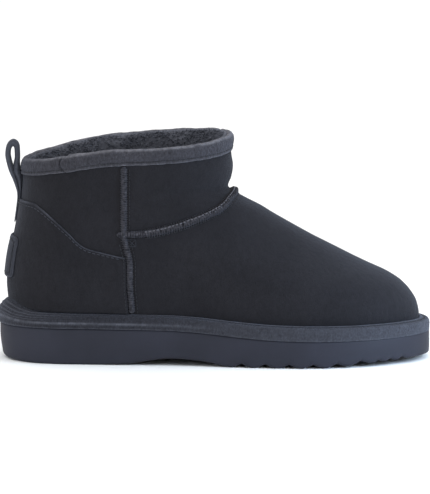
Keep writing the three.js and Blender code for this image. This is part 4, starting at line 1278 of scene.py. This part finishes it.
def tack(side, x_low, x_high, z_low, z_high):
    """Runs of thread that make a crossed tack in a small box."""
    corners = ((x_low, z_low), (x_high, z_low), (x_high, z_high), (x_low, z_high))
    runs = []
    for a, b in ((0, 1), (1, 2), (2, 3), (3, 0), (0, 2), (1, 3)):
        x = np.linspace(corners[a][0], corners[b][0], 12)
        z = np.linspace(corners[a][1], corners[b][1], 12)
        turn = turn_at(x, z, side)
        far = float(np.hypot(x[-1] - x[0], z[-1] - z[0]))
        runs.append(stitches(lifted(turn, z, 0.12 * MM), directions(turn, z)[2], far * 2, far, 0.24 * MM))
    return runs


loop_thread = twisted_thread("loop_thread", LOOP_THREAD_COLOUR, 0.15)
tack_thread = twisted_thread("tack_thread", TACK_THREAD_COLOUR, 0.2)
seam_suede = suede("seam_suede", SEAM_COLOUR, SEAM_RUBBED_AND_HIGHLIGHT, patches=0.25, sheen=0.16, fibres=2200.0,
                   nap_depth=1.0, mottle=0.5, flecks=700.0)

crossing_z = INSTEP_HEIGHT
for _ in range(20):
    crossing_z = float(instep_line(turn_at(side_seam_at(crossing_z), crossing_z, -1)))
seam_x = float(side_seam_at(crossing_z))
side_bottom = float(lip_line(side_seam_at(HEEL_HEIGHT))) + 2 * GAP
side_thread, side_loops, tacks = [], [], []
for side, where in ((-1, "outer"), (1, "inner")):
    collar_z = float(height_on(collar_line, turn_at(side_seam_at(COLLAR_HEIGHT), INSTEP_HEIGHT, side)))
    for run, low, high, shape in (
        ("lower", side_bottom, crossing_z + 0.4 * MM, ("end", 0.78, 1.35, 0.0)),
        ("upper", crossing_z - 0.4 * MM, collar_z - BINDING_HEIGHT - GAP, ("start", 0.88, 1.35, 0.0)),
    ):
        z = np.linspace(low, high, 60)
        turn = turn_at(side_seam_at(z), z, side)
        cord_piece(f"side_seam_{run}_{where}_cord", turn, z, SIDE_SEAM_WIDTH, SIDE_SEAM_HEIGHT, SIDE_RIB,
                   shape, seam_suede, "upper_suede", f"side_seam_{run}_{where}")
        side_loops.append(loops_over(turn, z, SIDE_SEAM_WIDTH, SIDE_SEAM_HEIGHT, *SIDE_LOOP))
        clear = slice(None, -6) if run == "lower" else slice(6, None)
        turn, z = turn[clear], z[clear]
        side_thread.append(stitch_line(turn, z, SIDE_ROW * side, 0.1 * MM, SIDE_STITCH))
        if run == "lower":
            side_thread.append(stitch_line(turn, z, -SIDE_ROW * side, 1.2 * MM, SIDE_STITCH))
    tacks += tack(side, seam_x + 2.4 * MM, seam_x + 7.2 * MM, crossing_z - 7.2 * MM, crossing_z - 3.0 * MM)

thread_piece("side_seam_thread", side_thread, dark_thread, "upper_suede")
thread_piece("side_seam_loops", side_loops, loop_thread, "upper_suede")
thread_piece("side_seam_tacks", tacks, tack_thread, "upper_suede")


# Instep seam: the vamp's edge is rolled up and sewn over to the quarters, as a fat ribbed cord that runs
# over the instep from side to side and ends in a short tail behind each side seam. Knots of thread stand
# along its upper edge, painted pale as a painted highlight, and the cord's upper side has a painted
# highlight.

INSTEP_RIB = 1.5 * MM
INSTEP_LOOP = (1.5 * MM, 0.28 * MM, 0.45 * MM, 0.7)  # as for the side seams, and how far across they reach
# Each row's way from the seam's middle, lift and stitch.
UPPER_ROW = (2.6 * MM, 0.1 * MM, (1.75 * MM, 1.1 * MM, 0.26 * MM))
LOWER_ROW = (-2.9 * MM, 0.05 * MM, (2.6 * MM, 1.8 * MM, 0.24 * MM))
KNOT_ROW = (0.33 * INSTEP_SEAM_WIDTH, 1.9 * MM, (2.4 * MM, 1.5 * MM, 0.38 * MM))
# Pale thread of the knots: its paleness is a painted highlight along the instep seam's upper edge.
CHAIN_THREAD_HIGHLIGHT_COLOUR = (0.092, 0.091, 0.104, 1)

tail_x = seam_x - SIDE_SEAM_WIDTH / 2 - INSTEP_SEAM_TAIL
tail_turn = float(turn_at(tail_x, crossing_z, -1))
turn = np.linspace(tail_turn, 2 * math.pi - tail_turn, 500)
z = instep_line(turn)
cord_piece("instep_seam_cord", turn, z, INSTEP_SEAM_WIDTH, INSTEP_SEAM_HEIGHT, INSTEP_RIB,
           ("both", 0.8, 0.5, 0.95), seam_suede, "upper_suede", "instep_seam")
turn, z = turn[28:-28], z[28:-28]
loops = loops_over(turn, z, INSTEP_SEAM_WIDTH, INSTEP_SEAM_HEIGHT, *INSTEP_LOOP)
rows = [stitch_line(turn, z, *row) for row in (UPPER_ROW, LOWER_ROW)]
chain_thread_highlight = twisted_thread("chain_thread_highlight", CHAIN_THREAD_HIGHLIGHT_COLOUR, 0.2)
thread_piece("instep_loops", [loops], loop_thread, "upper_suede")
thread_piece("instep_thread", rows, dark_thread, "upper_suede")
thread_piece("instep_chain", [stitch_line(turn, z, *KNOT_ROW)], chain_thread_highlight, "upper_suede")


# Pull loop: one doubled tape of suede, sewn down over the back of the counter, folded over above the collar
# and caught again below the binding.

TAPE_BOTTOM, TAPE_LENGTH, TAPE_WIDTH, TAPE_THICKNESS = 83.2 * MM, 49.1 * MM, 11 * MM, 2 * MM
# Up is a share of the tape's length, and lift (of its middle, from the heel's face) and thick are shares of
# its thickness, in order from the lower end up, over and down again. Below the loop's opening the two layers
# lie close.
TAPE_FOLD = {
    "step": tuple(range(21)),
    "up": (0.0, 0.15, 0.28, 0.36, 0.44, 0.52, 0.68, 0.83, 0.92, 0.96, 0.975, 0.96, 0.92, 0.87, 0.8, 0.72,
           0.64, 0.56, 0.49, 0.41, 0.29),
    "lift": (0.975, 0.975, 0.975, 1.05, 1.55, 2.25, 3.95, 4.9, 4.6, 4.0, 3.3, 2.6, 2.15, 2.05, 2.0, 2.1, 2.0,
             1.14, 0.78, 0.54, 0.42),
    "thick": (0.35, 0.35, 0.35, 0.65, 1.0, 1.3, 1.6, 1.6, 1.7, 1.85, 2.0, 1.85, 1.65, 1.6, 1.6, 1.95, 2.3,
              2.15, 1.4, 0.95, 0.65),
}
TAPE_COLOUR = (0.0300, 0.0315, 0.0400, 1)
TAPE_RUBBED = (0.092, 0.098, 0.120, 1)
TAPE_ROW = 3.9 * MM  # way from the tape's middle to each row of stitches
TAPE_STITCH = (2.7 * MM, 1.9 * MM, 0.28 * MM)


def tape_rings(columns=21, steps=116):
    """Rings of the folded tape, side by side across its width, and how far they are rubbed."""
    step = np.linspace(0, TAPE_FOLD["step"][-1], steps)
    z = TAPE_BOTTOM + curve(TAPE_FOLD, "step", "up")(step) * TAPE_LENGTH
    lift = curve(TAPE_FOLD, "step", "lift")(step) * TAPE_THICKNESS
    half = curve(TAPE_FOLD, "step", "thick")(step) * TAPE_THICKNESS / 2
    forward = unit(np.stack([np.gradient(lift), np.gradient(z)], -1))
    rings, rubbed = [], []
    for share in np.sin(np.linspace(-1, 1, columns) * math.pi / 2) / 2:
        thin = half * math.sqrt(max(1 - (abs(share) * 2) ** 6, 0.12))
        one = np.stack([lift + forward[:, 1] * thin, z - forward[:, 0] * thin], -1)
        other = np.stack([lift - forward[:, 1] * thin, z + forward[:, 0] * thin], -1)
        around_tape = np.concatenate([one, other[::-1]])
        on_heel = np.minimum(around_tape[:, 1], float(collar_line(0)))
        turn = heel_turn(np.full(len(on_heel), share * TAPE_WIDTH), on_heel)
        points = lifted(turn, on_heel, around_tape[:, 0])
        points[:, 2] = around_tape[:, 1] + 0.1 * MM * unevenness(points, 5 * MM)
        rings.append(points)
        rubbed.append(np.full(len(points), 0.4 * (abs(share) * 2) ** 8 + 0.06))
    return rings, rubbed


rings, rubbed = tape_rings()
columns, size = len(rings), len(rings[0])
faces = grid_faces(columns, size).tolist()
for column, flip in ((0, True), (columns - 1, False)):
    first, last = column * size, column * size + size - 1
    strip = [[first + i, first + i + 1, last - 1 - i, last - i] for i in range(size // 2 - 1)]
    faces += [face[::-1] if flip else face for face in strip]
tape_suede = suede("tape_suede", TAPE_COLOUR, TAPE_RUBBED, patches=0.16, sheen=0.2, fibres=1500.0,
                   nap_depth=0.9, mottle=0.2)
tape = piece("pull_loop_tape", in_row_frame(np.concatenate(rings)), faces, tape_suede, "trim_suede",
             "pull_loop")
paint_edge(tape, rubbed)


def tape_stitch_runs():
    """Two rows down the sewn part of the tape and one across its lower end."""
    low = TAPE_BOTTOM + 1.6 * MM
    upward = np.linspace(low, TAPE_BOTTOM + 0.3 * TAPE_LENGTH, 40)
    rows = [(np.full(40, y), upward) for y in (-TAPE_ROW, TAPE_ROW)]
    rows.append((np.linspace(-TAPE_ROW, TAPE_ROW, 40), np.full(40, low)))
    runs = []
    for y, z in rows:
        turn = heel_turn(y, z)
        path = lifted(turn, z, 1.15 * TAPE_THICKNESS - 0.3 * MM)
        runs.append(stitches(path, directions(turn, z)[2], *TAPE_STITCH))
    return runs


thread_piece("pull_loop_thread", tape_stitch_runs(), dark_thread, "trim_suede")


# Floor and light: a plain white floor in a white studio that is brighter overhead, with a soft lamp above,
# one in front and small cooler ones beside the toe and the heel.

rim = [(30 * math.cos(angle), 30 * math.sin(angle), 0) for angle in np.linspace(0, 2 * math.pi, 97)[:-1]]
floor_mesh = bpy.data.meshes.new("floor")
floor_mesh.from_pydata(rim, [], [range(96)])
floor = bpy.data.objects.new("floor", floor_mesh)
bpy.context.scene.collection.objects.link(floor)
paper, tree, surface = new_material("white_paper")
feed(tree, surface, Base_Color=(0.95, 0.95, 0.95, 1), Roughness=1, Specular_IOR_Level=0)
floor_mesh.materials.append(paper)


def soft_lamp(name, place, size, power, colour=(1, 1, 1)):
    lamp = bpy.data.lights.new(name, "AREA")
    lamp.shape = "RECTANGLE"
    lamp.size, lamp.size_y = size
    lamp.energy = power
    lamp.color = colour
    obj = bpy.data.objects.new(name, lamp)
    bpy.context.scene.collection.objects.link(obj)
    obj.location = place
    obj.rotation_euler = (Vector((0, 0, 0.06)) - Vector(place)).to_track_quat("-Z", "Y").to_euler()
    return obj


soft_lamp("top_lamp", (0.1, 0.1, 1.5), (2.0, 1.6), 5)
soft_lamp("front_lamp", (1.5, -0.5, 0.8), (1.0, 1.2), 1.6, (0.94, 0.97, 1.0))
soft_lamp("toe_lamp", (0.30, -0.16, 0.13), (0.14, 0.14), 0.85, (0.56, 0.76, 1.0))
soft_lamp("heel_lamp", (-0.30, -0.24, 0.12), (0.14, 0.14), 0.22, (0.76, 0.88, 1.0))

world = bpy.data.worlds.new("studio")
world.use_nodes = True
sky = world.node_tree.nodes["Background"]
way = add_node(world.node_tree, "ShaderNodeTexCoord").outputs["Generated"]
height = add_node(world.node_tree, "ShaderNodeSeparateXYZ", Vector=way).outputs["Z"]
feed(world.node_tree, sky, Color=(1, 1, 1, 1), Strength=spread(world.node_tree, height, 0.0, 1.0, 0.6, 1.34))
bpy.context.scene.world = world
bpy.context.scene.view_settings.view_transform = "Standard"
